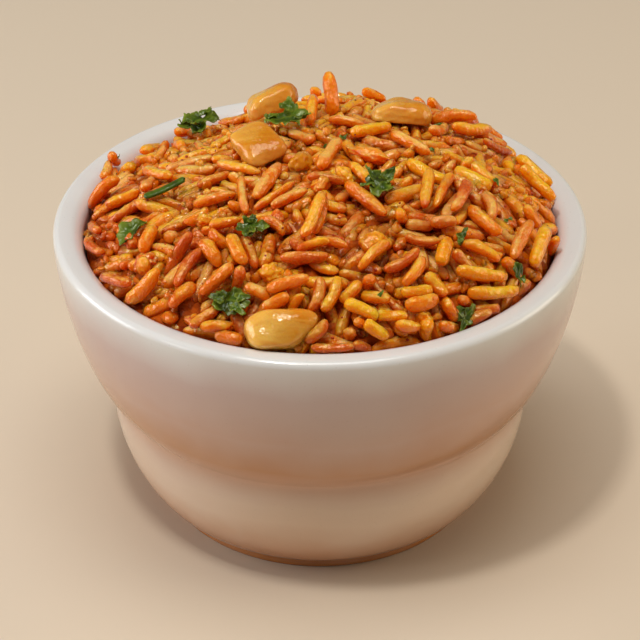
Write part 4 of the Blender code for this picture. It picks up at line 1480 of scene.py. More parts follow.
def mark_rice(piece: bpy.types.Object, form: HeapForm, sight: SightLines) -> None:
    """Store on each point how deep it lies, how far it faces up and how saucy it is.

    Args:
        piece: The piece to mark.
        form: The heap.
        sight: The sight lines that the saucy places are given by.
    """
    places, normals = vector_rows(piece.data, "co"), vector_rows(piece.data, "normal")
    x, y, z = places.T
    sauce = np.zeros_like(z)
    for across, down, reach in SAUCY_SPOTS:
        away = ((places - sight.meet(form, across, down, 0.0)) ** 2).sum(axis=1)
        sauce = np.maximum(sauce, np.exp(-away / (reach * MM) ** 2))
    deep = np.clip((form.height(x, y) - z) / FULLY_DEEP, 0.0, 1.0)
    # deep and crown are the masks of the painted shade and painted light in the rice's finish
    mark(piece.data, deep=deep, crown=normals[:, 2], sauce=sauce, reach=np.full_like(z, BIT_AMBER))


@dataclass(frozen=True)
class Grain:
    """Where one grain starts, and how the others may move it."""

    centre: np.ndarray
    axis: np.ndarray
    half: float
    radius: float
    kind: GrainKind
    proud: float = 0.02
    line: np.ndarray = field(default_factory=lambda: np.zeros(3))
    ease: float = 1.0


@dataclass
class GrainBed:
    """Grains as round-ended rods, pushed apart until they lie on each other."""

    form: HeapForm
    section: BowlSection
    cover: BVHTree
    sight: SightLines
    seed: int = 41
    layers: tuple[tuple[int, float], ...] = ((340, 1.3), (330, 2.8), (120, 4.4))
    length: tuple[float, float] = (7.0 * MM, 10.2 * MM)
    width: tuple[float, float] = (2.2 * MM, 2.95 * MM)
    steep_share: float = 0.26
    seen_slope: float = 0.10
    seen_share: float = 1.0
    seen_sink: float = 1.5 * MM
    layer_step: float = 1.7 * MM
    traced_length: tuple[float, float] = (5.0 * MM, 10.4 * MM)
    end_on: float = 0.72
    wall_clear: float = 0.05 * MM
    traced_sway: float = 0.12
    traced_clear: float = 1.6 * MM
    traced_ease: float = 0.35
    leading_length: float = 9.0 * MM
    leading_ease: float = 0.03
    depth: float = 6.6 * MM
    shortest_half: float = 0.3 * MM
    place_draws: int = 14
    edge_clear: float = 1.2 * MM
    turn_draws: int = 6
    lift_spread: float = 0.5 * MM
    proud_spread: float = 0.45 * MM
    flat_tilt: float = 13.0
    steep_tilt: tuple[float, float] = (25.0, 70.0)
    steep_rise: float = 0.6 * MM
    gap: float = 0.30 * MM
    ray_foot: float = 30.0 * MM
    ray_length: float = 100.0 * MM
    open_sky: float = 1.0
    softness: float = 0.86
    rounds: int = 150
    pairs_every: int = 4
    crowding: float = 0.45
    wall_crowding: float = 0.6
    firmness: float = 0.8
    slow_firmness: float = 0.1
    slow_ease: float = 0.1
    map_step: float = 0.5 * MM
    kinds: list[GrainKind] = field(init=False)
    centre: np.ndarray = field(init=False)
    axis: np.ndarray = field(init=False)
    half: np.ndarray = field(init=False)
    radius: np.ndarray = field(init=False)
    proud: np.ndarray = field(init=False)
    line: np.ndarray = field(init=False)
    ease: np.ndarray = field(init=False)
    shift: np.ndarray = field(init=False)
    swing: np.ndarray = field(init=False)
    count: np.ndarray = field(init=False)
    ceiling: np.ndarray = field(init=False)

    def trace(self) -> list[Grain]:
        """Lay the grains that show from the front along their sight lines.

        Returns:
            The grains.
        """
        grains = []
        low, high = self.traced_length
        for x0, y0, x1, y1, width, letter, level in TRACED_GRAINS:
            radius = 0.5 * width * MM
            lift = -radius - level * self.layer_step
            start = self.sight.meet(self.form, x0, y0, lift)
            end = self.sight.meet(self.form, x1, y1, lift)
            length = float(np.linalg.norm(end - start))
            if length < low:
                end = self.sight.reach(start, x1, y1, end, low, True)
            elif length > high:
                end = self.sight.reach(start, x1, y1, end, high, False)
            length = float(np.linalg.norm(end - start))
            axis = (end - start) / length
            sight = self.sight.direction(0.5 * (x0 + x1), 0.5 * (y0 + y1))
            sight = sight / np.linalg.norm(sight)
            half = max(0.5 * length - radius, self.shortest_half)
            place = (0.5 * (start + end), axis, half, radius, KIND_LETTERS[letter])
            grains.append(Grain(*place, line=sight, ease=self.traced_ease))
        return grains

    def lead(self) -> list[Grain]:
        """Stand the grains that shape the outline where the heap's solid has them.

        Returns:
            The grains.
        """
        grains = []
        for x, y, turn, tilt, lift, width, letter in LEADING_GRAINS:
            point, normal = self.form.surface(x * MM, y * MM)
            along, _ = in_surface(normal, turn)
            tip = math.radians(tilt)
            axis = np.array((along * math.cos(tip) + normal * math.sin(tip)).normalized())
            centre = np.array(point + normal * (lift * MM))
            half = 0.5 * (self.leading_length - width * MM)
            place = (centre, axis, half, 0.5 * width * MM, KIND_LETTERS[letter])
            grains.append(Grain(*place, ease=self.leading_ease))
        return grains

    def roomiest(self, rng: random.Random, chosen: list[Vector]) -> tuple[float, float]:
        """The one of a few drawn places that lies farthest from those already chosen.

        Args:
            rng: Draws the places.
            chosen: Points that are taken.

        Returns:
            Its two coordinates.
        """
        best, gap = (0.0, 0.0), -1.0
        for _ in range(self.place_draws):
            angle = rng.uniform(0.0, FULL_TURN)
            away = (self.form.radius - self.edge_clear) * math.sqrt(rng.random())
            x, y = away * math.cos(angle), away * math.sin(angle)
            nearest = min(((x - p.x) ** 2 + (y - p.y) ** 2 for p in chosen), default=1.0)
            if nearest > gap:
                best, gap = (x, y), nearest
        return best

    def strew(self) -> None:
        """Lay the traced grains and strew the others over the heap in layers."""
        rng = random.Random(self.seed)
        grains = self.lead() + self.trace()
        view = Vector(self.sight.eye)
        for layer, (count, below) in enumerate(self.layers):
            chosen: list[Vector] = []
            for _ in range(count):
                point, normal = self.form.surface(*self.roomiest(rng, chosen))
                chosen.append(point)
                look = (view - point).normalized()
                seen = normal.dot(look) > self.seen_slope
                if seen and layer == 0 and rng.random() > self.seen_share:
                    continue
                lift = rng.gauss(0.0, self.lift_spread)
                steep = rng.random() < self.steep_share
                for _ in range(self.turn_draws):
                    tilt = rng.uniform(*self.steep_tilt) if steep else rng.gauss(0.0, self.flat_tilt)
                    along, _ = in_surface(normal, rng.uniform(0.0, 360.0))
                    tip = math.radians(tilt)
                    direction = along * math.cos(tip) + normal * math.sin(tip)
                    if abs(direction.dot(look)) < self.end_on:
                        break
                length, width = rng.uniform(*self.length), rng.uniform(*self.width)
                sink = self.seen_sink if seen else 0.0
                centre = point + normal * (lift - below * MM - sink)
                proud = rng.gauss(0.0, self.proud_spread)
                proud += self.steep_rise if tilt > self.steep_tilt[0] else 0.0
                kind = rng.choices(list(KIND_SHARES), weights=list(KIND_SHARES.values()))[0]
                place = (np.array(centre), np.array(direction.normalized()), 0.5 * (length - width))
                grains.append(Grain(*place, 0.5 * width, kind, proud - sink))
        for name in ("centre", "axis", "half", "radius", "proud", "line", "ease"):
            setattr(self, name, np.array([getattr(grain, name) for grain in grains]))
        self.kinds = [grain.kind for grain in grains]

    def map_undersides(self) -> None:
        """Map how low the toppings hang over each place, as a ceiling for the grains."""
        reach = self.section.rim_radius
        cells = int(2.0 * reach / self.map_step) + 1
        self.ceiling = np.full((cells, cells), self.open_sky)
        for i in range(cells):
            for j in range(cells):
                x, y = -reach + i * self.map_step, -reach + j * self.map_step
                if x * x + y * y > reach * reach:
                    continue
                low = Vector((x, y, self.ray_foot))
                hit = self.cover.ray_cast(low, Vector((0.0, 0.0, 1.0)), self.ray_length)[0]
                if hit is not None:
                    self.ceiling[i, j] = hit.z - self.gap

    def under(self, x: np.ndarray, y: np.ndarray) -> np.ndarray:
        """Ceiling of the toppings over each place.

        Args:
            x: First coordinates.
            y: Second coordinates.

        Returns:
            The heights, far up where there is no topping.
        """
        reach, last = self.section.rim_radius, len(self.ceiling) - 1
        i, j = (np.clip(np.rint((v + reach) / self.map_step).astype(int), 0, last) for v in (x, y))
        return self.ceiling[i, j]

    def pairs(self) -> tuple[np.ndarray, np.ndarray]:
        """Pairs of grains that are near enough to touch.

        Returns:
            The first and the second of each pair.
        """
        offset = self.centre[:, None, :] - self.centre[None, :, :]
        away = np.sqrt((offset**2).sum(axis=2))
        reach = self.half + self.radius
        near = away < reach[:, None] + reach[None, :]
        first, second = np.nonzero(np.triu(near, 1))
        return first, second

    def push(self, who: np.ndarray, arm: np.ndarray, move: np.ndarray) -> None:
        """Push grains at points along their axes, which shifts and turns them.

        Args:
            who: Indices of the grains.
            arm: Where along the axis each push acts.
            move: The pushes.
        """
        spin = (self.half[who] + self.radius[who]) ** 2 / 3.0
        axis = self.axis[who]
        across = move - (move * axis).sum(axis=1)[:, None] * axis
        np.add.at(self.shift, who, move)
        np.add.at(self.swing, who, across * (arm / spin)[:, None])
        np.add.at(self.count, who, 1.0)

    def part(self, first: np.ndarray, second: np.ndarray) -> float:
        """Push overlapping grains apart.

        Args:
            first: First of each pair.
            second: Second of each pair.

        Returns:
            The deepest overlap.
        """
        u, v = self.axis[first], self.axis[second]
        hu, hv = self.half[first], self.half[second]
        offset = self.centre[first] - self.centre[second]
        turn = (u * v).sum(axis=1)
        d, e = (u * offset).sum(axis=1), (v * offset).sum(axis=1)
        open_angle = np.maximum(1.0 - turn * turn, 1e-4)
        s = np.clip((turn * e - d) / open_angle, -hu, hu)
        t = np.clip(turn * s + e, -hv, hv)
        s = np.clip(turn * t - d, -hu, hu)
        t = np.clip(turn * s + e, -hv, hv)
        gap = offset + u * s[:, None] - v * t[:, None]
        distance = np.sqrt((gap**2).sum(axis=1)) + 1e-9
        over = self.softness * (self.radius[first] + self.radius[second]) - distance
        hit = over > 0.0
        push = (gap / distance[:, None])[hit] * over[hit][:, None]
        yields = self.ease[first[hit]] / (self.ease[first[hit]] + self.ease[second[hit]])
        self.push(first[hit], s[hit], push * yields[:, None])
        self.push(second[hit], t[hit], -push * (1.0 - yields)[:, None])
        return float(over.max(initial=0.0))

    def hold(self) -> None:
        """Keep the grains over the core, under the heap's surface, in the bowl and under toppings."""
        who = np.arange(len(self.centre))
        for share in (-1.0, -0.5, 0.0, 0.5, 1.0):
            arm = share * self.half
            point = self.centre + self.axis * arm[:, None]
            x, y, z = point.T
            top = self.form.height(x, y)
            roof = np.minimum(top + self.proud, self.under(x, y))
            high = np.maximum(z + self.radius - roof, 0.0)
            low = np.maximum(top - self.depth + self.radius - z, 0.0)
            move = np.stack([np.zeros_like(x), np.zeros_like(x), low - high], axis=1)
            moved = np.abs(move[:, 2]) > 0.0
            firm = np.where(self.ease < self.slow_ease, self.slow_firmness, self.firmness)
            self.push(who[moved], arm[moved], firm[moved][:, None] * move[moved])

    def keep_in_bowl(self) -> None:
        """Move grains that reach into the wall or the lip straight in."""
        who = np.arange(len(self.centre))
        for share in (-1.0, 0.0, 1.0):
            arm = share * self.half
            x, y, z = (self.centre + self.axis * arm[:, None]).T
            away = np.hypot(x, y)
            out = np.maximum(away - self.section.room(z, self.radius + self.wall_clear), 0.0)
            move = np.stack([-x / (away + 1e-9) * out, -y / (away + 1e-9) * out, np.zeros_like(x)], axis=1)
            moved = out > 0.0
            self.push(who[moved], arm[moved], self.firmness * move[moved])

    def along_sight(self, moves: np.ndarray) -> np.ndarray:
        """Leave a traced grain's moves mostly along its sight line, so that it looks the same.

        Args:
            moves: A move for each grain.

        Returns:
            The moves that are left.
        """
        traced = (np.abs(self.line).sum(axis=1) > 0.0)[:, None]
        along = (moves * self.line).sum(axis=1)[:, None] * self.line
        return np.where(traced, along + self.traced_sway * (moves - along), moves)

    def step(self, first: np.ndarray, second: np.ndarray) -> float:
        """One round of pushes.

        Args:
            first: First of each pair of near grains.
            second: Second of each pair.

        Returns:
            The deepest overlap before it.
        """
        self.clear_pushes()
        deepest = self.part(first, second)
        self.hold()
        ease = 1.0 / np.maximum(1.0, self.crowding * self.count)[:, None]
        self.centre += self.along_sight(self.shift * ease)
        self.axis += self.along_sight(self.swing * ease)
        self.clear_pushes()
        self.keep_in_bowl()
        ease = 1.0 / np.maximum(1.0, self.wall_crowding * self.count)[:, None]
        self.centre += self.shift * ease
        self.axis += self.swing * ease
        self.axis /= np.sqrt((self.axis**2).sum(axis=1))[:, None]
        return deepest

    def release(self) -> None:
        """Free traced grains that stand clear of the heap from their sight lines, so that they drop."""
        x, y, z = self.centre.T
        self.line[z - self.form.height(x, y) > self.traced_clear] = 0.0

    def clear_pushes(self) -> None:
        """Forget the pushes of the last round."""
        self.shift = np.zeros_like(self.centre)
        self.swing = np.zeros_like(self.centre)
        self.count = np.zeros(len(self.centre))

    def settle(self) -> float:
        """Let the grains find their places.

        Returns:
            The deepest overlap that is left.
        """
        self.map_undersides()
        deepest = 0.0
        for turn in range(self.rounds):
            if turn % self.pairs_every == 0:
                first, second = self.pairs()
                self.release()
            deepest = self.step(first, second)
        return deepest


# Each kind's finish, whose third colour also gives painted shade on faces that look down, and how blunt its
# ends are: 2 for an oval and more for a rod
GRAIN_LOOKS = {
    GrainKind.GOLDEN: (
        RiceFinish("golden_rice", tint(248, 176, 46), tint(241, 128, 0), tint(204, 70, 1)),
        4.6,
    ),
    GrainKind.TAN: (RiceFinish("tan_rice", tint(240, 176, 90), tint(230, 120, 3), tint(196, 72, 2)), 5.0),
    GrainKind.BROWN: (RiceFinish("brown_rice", tint(220, 148, 54), tint(204, 90, 1), tint(168, 54, 1)), 4.2),
    GrainKind.CUT: (RiceFinish("cut_rice", tint(252, 186, 34), tint(250, 150, 0), tint(214, 84, 1)), 8.0),
}


@dataclass
class RiceHeap:
    """The rice: a dark core and its grains."""

    form: HeapForm
    section: BowlSection
    bed: GrainBed
    core_heights: tuple[float, ...] = (8.6, 12.0, 18.0, 26.0, 34.0, 42.0, 47.0)
    core_depth: float = 2.9 * MM
    core_edge_lift: float = 0.8 * MM
    core_edge_power: float = 24.0
    core_rings: int = 84
    core_crowding: float = 0.8
    core_segments: int = 200
    relief: float = 1.5 * MM
    relief_wave: float = 2.6 * MM
    wall_gap: float = 0.35 * MM
    sides: int = 8
    rings: int = 8
    taper: float = 0.08
    lump_depth: float = 0.75 * MM
    lump_size: float = 2.4 * MM
    bow: float = 0.8 * MM
    bow_middle: float = 0.33
    bow_shares: tuple[float, float] = (0.1, 1.0)
    wide_shares: tuple[float, float] = (0.93, 1.06)
    thick_shares: tuple[float, float] = (0.82, 0.94)
    seed: int = 7

    def core(self) -> bpy.types.Object:
        """The body under the grains.

        Returns:
            The piece.
        """
        rows = []
        for height in self.core_heights:
            radius = self.section.inner(height * MM) - 3.0 * self.wall_gap
            rows.append(self.ring(radius, 0.0, lambda x, y, z=height * MM: z))
        edge = self.section.wall_radius - self.wall_gap
        for step in range(self.core_rings, 0, -1):
            share = (step / self.core_rings) ** self.core_crowding
            rows.append(self.ring(edge * share, self.form.crest_x * (1.0 - share), self.core_top))
        bm = bmesh.new()
        verts = [[bm.verts.new(p) for p in row] for row in rows]
        low = bm.verts.new((0.0, 0.0, self.section.floor_height + self.wall_gap))
        high = bm.verts.new((self.form.crest_x, 0.0, self.core_top(self.form.crest_x, 0.0)))
        for i in range(self.core_segments):
            j = (i + 1) % self.core_segments
            bm.faces.new((low, verts[0][j], verts[0][i]))
            bm.faces.new((high, verts[-1][i], verts[-1][j]))
            for below, above in zip(verts, verts[1:]):
                bm.faces.new((below[i], below[j], above[j], above[i]))
        return seat(piece_from("rice_core", bm, SauceAndGapShadeFinish().material()), "rice_heap")

    def core_top(self, x: float, y: float) -> float:
        """Height of the core's uneven top.

        Args:
            x: First coordinate.
            y: Second coordinate.

        Returns:
            The height.
        """
        place = Vector((x, y, 0.0)) / self.relief_wave
        bumps = noise.noise(place) + 0.5 * noise.noise(2.3 * place)
        rim = self.core_edge_lift * (math.hypot(x, y) / self.form.radius) ** self.core_edge_power
        return float(self.form.height(x, y)) - self.core_depth + rim + self.relief * bumps

    def ring(
        self, radius: float, shift: float, height: Callable[[float, float], float]
    ) -> list[tuple[float, float, float]]:
        """A ring of points round the axis or round a shifted middle.

        Args:
            radius: Its radius.
            shift: How far its middle lies along X.
            height: Gives the height over a place.

        Returns:
            The points.
        """
        points = []
        for i in range(self.core_segments):
            angle = FULL_TURN * i / self.core_segments
            x, y = radius * math.cos(angle) + shift, radius * math.sin(angle)
            points.append((x, y, height(x, y)))
        return points

    def grain_tree(self, look: RiceFinish, bluntness: float) -> TreeDesk:
        """A tree that lays one grain on each point, bows it and makes it uneven.

        Args:
            look: The grains' finish.
            bluntness: How blunt their ends are.

        Returns:
            The tree.
        """
        desk = TreeDesk("laid_grains")
        sides = desk.input("Sides", "Int", self.sides)
        rings = desk.input("Rings", "Int", self.rings)
        fullness = desk.input("Fullness", "Float", bluntness)
        taper = desk.input("Taper", "Float", self.taper)
        depth = desk.input("Lump Depth", "Float", self.lump_depth)
        lump_size = desk.input("Lump Size", "Float", self.lump_size)
        finish = desk.input("Finish", "Material", look.material())
        ball = desk.node("GeometryNodeMeshUVSphere", {"Segments": sides, "Rings": rings, "Radius": 1.0})
        parts = desk.parts(desk.node("GeometryNodeInputPosition").outputs[0])
        along = parts["Z"]
        body = desk.math("SUBTRACT", 1.0, desk.math("POWER", desk.math("ABSOLUTE", along), fullness))
        body = desk.math("MAXIMUM", body, 0.0)
        ball_body = desk.math("SUBTRACT", 1.0, desk.math("MULTIPLY", along, along))
        ball_body = desk.math("MAXIMUM", ball_body, 0.0001)
        narrowed = desk.math("SUBTRACT", 1.0, desk.math("MULTIPLY", taper, along))
        factor = desk.math("MULTIPLY", desk.math("SQRT", desk.math("DIVIDE", body, ball_body)), narrowed)
        shaped = {
            "X": desk.math("MULTIPLY", parts["X"], factor),
            "Y": desk.math("MULTIPLY", parts["Y"], factor),
            "Z": along,
        }
        place = desk.node("ShaderNodeCombineXYZ", shaped).outputs[0]
        kept = {"Geometry": desk.moved(ball.outputs["Mesh"], Position=place), "Name": "along", "Value": along}
        grain = desk.node("GeometryNodeStoreNamedAttribute", kept, data_type="FLOAT", domain="POINT")
        lie, size, bow = (desk.stored(name, "FLOAT_VECTOR") for name in ("lie", "size", "bow"))
        grains = desk.laid(desk.source.outputs[0], grain.outputs[0], lie, size)
        reach = desk.stored("along")
        bowed = desk.math("SUBTRACT", desk.math("MULTIPLY", reach, reach), self.bow_middle)
        bent = desk.moved(grains, Offset=desk.scaled(bow, bowed))
        cloud = desk.node("ShaderNodeTexNoise", {"Scale": desk.math("DIVIDE", 1.0, lump_size), "Detail": 1.0})
        desk.close(desk.uneven(bent, cloud.outputs[0], depth), finish)
        return desk

    def lay_kind(self, kind: GrainKind) -> bpy.types.Object:
        """Lay the grains of one kind.

        Args:
            kind: The kind.

        Returns:
            The piece.
        """
        rng = random.Random(f"{self.seed} {kind.value}")
        bed = self.bed
        chosen = np.array([i for i, other in enumerate(bed.kinds) if other is kind])
        mesh = bpy.data.meshes.new(f"{kind.value}_points")
        mesh.from_pydata([tuple(c) for c in bed.centre[chosen]], [], [])
        rows: dict[str, list[tuple[float, ...]]] = {"lie": [], "size": [], "bow": []}
        tones = []
        for i in chosen:
            axis = Vector(bed.axis[i])
            roll = rng.uniform(0.0, FULL_TURN)
            lie = axis.to_track_quat("Z", "Y") @ Quaternion((0.0, 0.0, 1.0), roll)
            radius = bed.radius[i]
            wide, thick = radius * rng.uniform(*self.wide_shares), radius * rng.uniform(*self.thick_shares)
            side = axis.cross(Vector((rng.gauss(0, 1), rng.gauss(0, 1), rng.gauss(0, 1)))).normalized()
            rows["lie"].append(tuple(lie.to_euler()))
            rows["size"].append((wide, thick, bed.half[i] + radius))
            rows["bow"].append(tuple(side * rng.uniform(*self.bow_shares) * self.bow))
            tones.append(rng.random())
        for name, values in rows.items():
            layer = mesh.attributes.new(name, "FLOAT_VECTOR", "POINT")
            layer.data.foreach_set("vector", np.array(values).ravel())
        mark(mesh, tone=tones)
        piece = self.grain_tree(*GRAIN_LOOKS[kind]).grow(f"{kind.value}_grains", mesh)
        mark_rice(piece, self.form, bed.sight)
        return seat(piece, "rice_heap")

    def build(self) -> list[bpy.types.Object]:
        """Lay the rice: the core first, then each kind of grain."""
        return [self.core(), *(self.lay_kind(kind) for kind in GRAIN_LOOKS)]


@dataclass(frozen=True)
class SoftLumps:
    """Soft lumps fused to the rice, one piece for each finish."""

    form: HeapForm
    sight: SightLines
    levels: int = 4
    bump: float = 0.24
    bump_size: float = 0.42
    sink: float = 0.3

    def lump(self, bm: bmesh.types.BMesh, row: tuple[float, ...]) -> None:
        """Add one lump.

        Args:
            bm: The geometry that it joins.
            row: Its place, length, width, height and turn in mm and degrees.
        """
        x, y, length, width, height, turn = row
        point, normal = self.form.surface(x * MM, y * MM)
        along, side = in_surface(normal, turn)
        ball = bmesh.ops.create_icosphere(bm, subdivisions=self.levels, radius=1.0)
        start = Vector((x, y, 0.0))
        for vert in ball["verts"]:
            own = vert.co.copy()
            bumps = noise.noise(start + own / self.bump_size) + noise.noise(start + own)
            own *= 1.0 + self.bump * bumps
            vert.co = point + along * (0.5 * length * MM * own.x) + side * (0.5 * width * MM * own.y)
            vert.co += normal * (MM * (0.5 * height * own.z - self.sink * height))

    def build(self) -> None:
        """Make the lumps."""
        for name, (finish, rows) in LUMPS.items():
            bm = bmesh.new()
            for row in rows:
                self.lump(bm, row)
            piece = piece_from(name, bm, finish.material())
            mark_rice(piece, self.form, self.sight)
            seat(piece, "rice_heap")


# Each piece's finish, and x, y, length, width, height in mm and turn in degrees of its lumps
LUMPS = {
    "yellow_lumps": (
        RiceFinish("yellow_rice_mash", tint(248, 164, 28), tint(242, 132, 3), tint(230, 102, 3)),
        (
            (9.5, -26.2, 5.0, 4.2, 4.4, 20), (-8.4, -31.3, 4.2, 3.8, 3.8, -30),
            (27.2, -1.5, 3.6, 2.8, 3.4, 20), (17.6, -37.4, 3.6, 3.0, 3.4, -20),
            (4.4, -8.6, 4.6, 2.4, 3.4, -60), (-20.6, -16.6, 3.0, 2.6, 2.8, 40),
        ),
    ),
    "saucy_lumps": (
        RiceFinish("saucy_mash", tint(226, 110, 20), tint(206, 70, 4), tint(160, 38, 2)),
        (
            (-31.0, -22.0, 4.6, 3.6, 3.6, 10), (-7.6, -19.6, 3.0, 2.6, 2.8, 70),
            (-33.6, -15.6, 2.8, 2.6, 2.8, 0),
        ),
    ),
    "orange_shard": (
        RiceFinish("orange_shard", tint(246, 150, 40), tint(236, 106, 8), tint(214, 72, 4)),
        ((8.7, -1.6, 8.2, 3.0, 2.8, -24), (0.4, -10.4, 5.6, 3.2, 3.2, 58)),
    ),
    "onion_bit": (OnionFinish(), ((-3.6, -3.0, 4.6, 3.8, 3.8, 40),)),
}  # fmt: skip


@dataclass(frozen=True)
class Crumbs:
    """One kind of uneven crumbs, strewn over the faces that look up."""

    name: str
    finish: RiceFinish | CrumbFinish
    density: float
    seed: int
    smallest: float
    largest: float
    shallowest: float = 0.0
    levels: int = 1
    facing: float = 0.05
    deepest: float = 0.75
    turning: tuple[float, float, float] = (6.28, 6.28, 6.28)
    lump_scale: float = 1100.0

    def tree(self) -> TreeDesk:
        """A tree that strews the crumbs.

        Returns:
            The tree.
        """
        desk = TreeDesk("strewn_crumbs")
        density = desk.input("Density", "Float", self.density)
        seed = desk.input("Seed", "Int", self.seed)
        smallest = desk.input("Smallest", "Float", self.smallest * MM)
        largest = desk.input("Largest", "Float", self.largest * MM)
        shallow = desk.input("Shallowest", "Float", self.shallowest)
        finish = desk.input("Finish", "Material", self.finish.material())
        levels = desk.input("Levels", "Int", self.levels)
        up = desk.parts(desk.node("GeometryNodeInputNormal").outputs[0])["Z"]
        deep = desk.stored("deep")
        chosen = desk.math("GREATER_THAN", up, self.facing)
        chosen = desk.math("MULTIPLY", chosen, desk.math("GREATER_THAN", deep, shallow))
        chosen = desk.math("MULTIPLY", chosen, desk.math("LESS_THAN", deep, self.deepest))
        strewn = {
            "Mesh": desk.source.outputs[0],
            "Density": desk.math("MULTIPLY", density, chosen),
            "Seed": seed,
        }
        kind = "GeometryNodeDistributePointsOnFaces"
        points = desk.node(kind, strewn, distribute_method="RANDOM").outputs["Points"]
        ball = desk.node("GeometryNodeMeshIcoSphere", {"Radius": 1.0, "Subdivisions": levels})
        sizes, turns = ({0: smallest, 1: largest}, {1: self.turning})
        size, turn = (
            desk.node("FunctionNodeRandomValue", draw, data_type="FLOAT_VECTOR").outputs[0]
            for draw in (sizes, turns)
        )
        crumbs = desk.laid(points, ball.outputs["Mesh"], turn, size)
        cloud = desk.node("ShaderNodeTexNoise", {"Scale": self.lump_scale}).outputs[0]
        desk.close(desk.uneven(crumbs, cloud, largest), finish)
        return desk


# Kinds of crumb: density to a square metre, seed, smallest and largest in mm, how deep the first
# lie, and how finely each is divided
CRUMBS = (
    Crumbs(
        "mashed_crumbs",
        RiceFinish("mashed_rice", tint(236, 148, 30), tint(232, 118, 2), tint(206, 74, 2)),
        64000.0, 3, 0.40, 1.20, 0.10, 2,
    ),
    Crumbs(
        "chilli_crumbs",
        CrumbFinish("ground_chilli", tint(206, 74, 6), tint(150, 34, 2)),
        42000.0, 5, 0.12, 0.34,
    ),
    Crumbs(
        "pepper_specks",
        CrumbFinish("ground_pepper", tint(74, 44, 18), tint(34, 18, 8)),
        9000.0, 8, 0.09, 0.22,
    ),
)  # fmt: skip


@dataclass(frozen=True)
class Seasoning:
    """What clings to the grains: mashed rice, ground chilli, pepper and green flakes."""

    form: HeapForm
    sight: SightLines
    grains: list[bpy.types.Object]
    sheets: LeafSheets = LeafSheets(0.22 * MM, 5, 36, 0.5 * MM, 1.2 * MM)
    seed: int = 23
    lean: float = 0.6
    lift: float = 0.25 * MM
    droop: float = 0.12
    strip_share: float = 0.6

    def flakes(self) -> None:
        """Small green flakes, each on the first grain that its sight line meets."""
        rng = random.Random(self.seed)
        cover = cover_of(self.grains)
        bm = leaf_geometry()
        for across, down, length, width, turn in FLAKES:
            line = Vector(self.sight.direction(across, down)).normalized()
            foot = cover.ray_cast(Vector(self.sight.eye), line)[0]
            if foot is None:
                continue
            normal = self.form.surface(foot.x, foot.y)[1]
            normal = (normal - self.lean * line).normalized()
            along, side = in_surface(normal, turn)

            def laid(u: float, v: float) -> tuple[Vector, Vector]:
                """Point and normal of the flake."""
                bend = self.droop * length * MM * (u * u + v * v)
                reach = along * (0.5 * length * MM * u) + side * (0.5 * width * MM * v)
                return foot + reach + normal * (self.lift - bend), normal

            lobes = 3 if width > self.strip_share * length else 0
            self.sheets.sheet(bm, laid, self.sheets.outline(lobes, rng), rng.uniform(0.0, 9.0))
        piece = piece_from("green_flakes", bm, HerbFinish("flake_green").material())
        seat(piece, "rice_heap")

    def build(self) -> None:
        """Lay the flakes and strew the crumbs."""
        self.flakes()
        ground = bmesh.new()
        for grain in self.grains:
            ground.from_mesh(grain.data)
        for crumbs in CRUMBS:
            mesh = bpy.data.meshes.new(f"{crumbs.name}_ground")
            ground.to_mesh(mesh)
            piece = crumbs.tree().grow(crumbs.name, mesh)
            mark_rice(piece, self.form, self.sight)
            seat(piece, "rice_heap")
        ground.free()


# Flakes: the pixel of the middle, length and width in mm and turn in degrees
FLAKES = (
    (508, 221, 2.6, 2.0, 40), (361, 271, 3.0, 2.3, 10), (496, 182, 2.2, 1.5, -50), (343, 137, 2.3, 1.7, 30),
    (386, 118, 3.8, 1.0, 5), (440, 124, 3.6, 0.9, 15), (433, 150, 2.4, 1.5, -20), (349, 175, 3.6, 1.8, 95),
    (380, 294, 1.6, 1.0, 60), (270, 160, 2.0, 1.2, 20), (307, 163, 2.2, 1.1, -30), (117, 158, 1.6, 1.0, 20),
    (325, 147, 1.6, 0.9, 70),
)  # fmt: skip


# The studio

# Lamps: the name, the place in metres, the side in metres, the power in watts and the colour
LAMPS = (
    ("overhead_softbox", (0.0, -0.06, 0.95), 0.50, 3.5, (1.0, 0.99, 0.97)),
    ("key_lamp", (-0.16, -0.26, 0.90), 0.07, 2.35, (1.0, 0.97, 0.92)),
    ("left_softbox", (-0.75, 0.05, 0.24), 0.42, 3.0, (0.94, 0.97, 1.0)),
    ("left_window", (-0.52, -0.30, 0.40), 0.14, 0.30, (1.0, 0.98, 0.96)),
    ("right_softbox", (0.75, 0.05, 0.26), 0.45, 2.0, (1.0, 0.88, 0.66)),
)


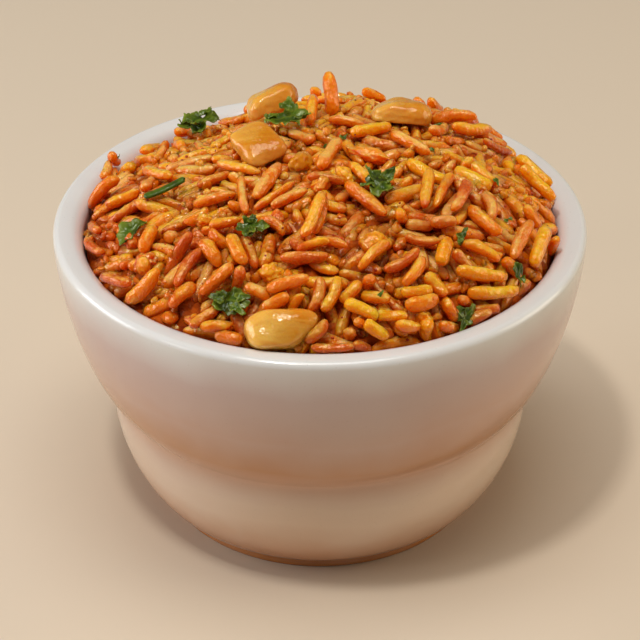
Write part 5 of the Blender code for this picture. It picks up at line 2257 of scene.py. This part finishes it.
@dataclass(frozen=True)
class Studio:
    """The floor, the lights and the camera."""

    eye: tuple[float, float, float] = EYE
    look_down: float = 32.80
    focal_length: float = 130.05
    sensor: float = 36.0
    floor_half: float = 1.6
    backdrop_rise: float = 1.4
    backdrop_bend: float = 0.5
    backdrop_steps: int = 12
    lamp_target: tuple[float, float, float] = (0.0, 0.0, 0.05)
    air_colour: Colour = (1.0, 0.94, 0.87)
    air_strength: float = 0.15
    clip: tuple[float, float] = (0.01, 10.0)

    def floor(self) -> None:
        """A pale floor that curves up into a backdrop."""
        bm = bmesh.new()
        rows = [(-self.floor_half, 0.0)]
        start, bend = self.floor_half - self.backdrop_bend, self.backdrop_bend
        for i in range(self.backdrop_steps + 1):
            angle = 0.5 * math.pi * i / self.backdrop_steps
            rows.append((start + bend * math.sin(angle), bend * (1.0 - math.cos(angle))))
        rows.append((self.floor_half, self.backdrop_rise))
        half = 2.0 * self.floor_half
        lines = [[bm.verts.new((x, y, z)) for x in (-half, half)] for y, z in rows]
        for first, second in zip(lines, lines[1:]):
            bm.faces.new((first[0], first[1], second[1], second[0]))
        piece_from("floor", bm, FloorFinish().material())

    def lamp(
        self, name: str, place: tuple[float, float, float], size: float, power: float, colour: Colour
    ) -> None:
        """A soft square lamp that looks at the rice.

        Args:
            name: Its name.
            place: Where it hangs.
            size: Its side.
            power: Its power in watts.
            colour: Its colour.
        """
        data = bpy.data.lights.new(name, "AREA")
        data.size = size
        data.energy = power
        data.color = colour
        lamp = bpy.data.objects.new(name, data)
        lamp.location = place
        aim = Vector(self.lamp_target) - Vector(place)
        lamp.rotation_euler = aim.to_track_quat("-Z", "Y").to_euler()
        bpy.context.scene.collection.objects.link(lamp)

    def lights(self) -> None:
        """Soft light from both sides, the back and above, weak from the front."""
        for row in LAMPS:
            self.lamp(*row)
        world = bpy.data.worlds.new("studio_air")
        world.use_nodes = True
        backdrop = world.node_tree.nodes["Background"]
        backdrop.inputs["Color"].default_value = (*self.air_colour, 1.0)
        backdrop.inputs["Strength"].default_value = self.air_strength
        bpy.context.scene.world = world

    def camera(self) -> None:
        """The camera at the angle of the photograph."""
        data = bpy.data.cameras.new("view")
        data.sensor_width = self.sensor
        data.lens = self.focal_length
        data.clip_start, data.clip_end = self.clip
        view = bpy.data.objects.new("view", data)
        view.location = self.eye
        view.rotation_euler = (math.radians(90.0 - self.look_down), 0.0, 0.0)
        bpy.context.scene.collection.objects.link(view)
        bpy.context.scene.camera = view

    def build(self) -> None:
        """Set up the studio."""
        self.floor()
        self.lights()
        self.camera()
        bpy.context.scene.view_settings.view_transform = "Standard"


def write_sizes() -> None:
    """Bring the scene's placements up to date."""
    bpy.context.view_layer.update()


def cover_of(pieces: list[bpy.types.Object]) -> BVHTree:
    """One search tree over several pieces.

    Args:
        pieces: The pieces.

    Returns:
        The tree.
    """
    verts, faces = [], []
    for piece in pieces:
        start = len(verts)
        verts += [v.co.copy() for v in piece.data.vertices]
        faces += [tuple(start + i for i in p.vertices) for p in piece.data.polygons]
    return BVHTree.FromPolygons(verts, faces)


def main() -> None:
    """Build the bowl, what lies on the rice, the rice and the studio."""
    logging.basicConfig(level=logging.INFO, format="%(name)s %(message)s")
    section, form = BowlSection(), HeapForm()
    CeramicBowl(section, IvoryGlaze()).build()
    onion = OnionFinish().material()
    herb = HerbFinish().material()
    toppings = [OnionPiece(*row, onion).build() for row in ONIONS]
    toppings += [HerbPiece(*row, herb, form).build() for row in HERBS]
    bed = GrainBed(form, section, cover_of(toppings), SightLines())
    bed.strew()
    LOG.info("deepest overlap left: %.2f mm", bed.settle() / MM)
    grains = RiceHeap(form, section, bed).build()[1:]
    SoftLumps(form, bed.sight).build()
    Seasoning(form, bed.sight, grains).build()
    Studio().build()
    write_sizes()


if __name__ == "__main__":
    main()
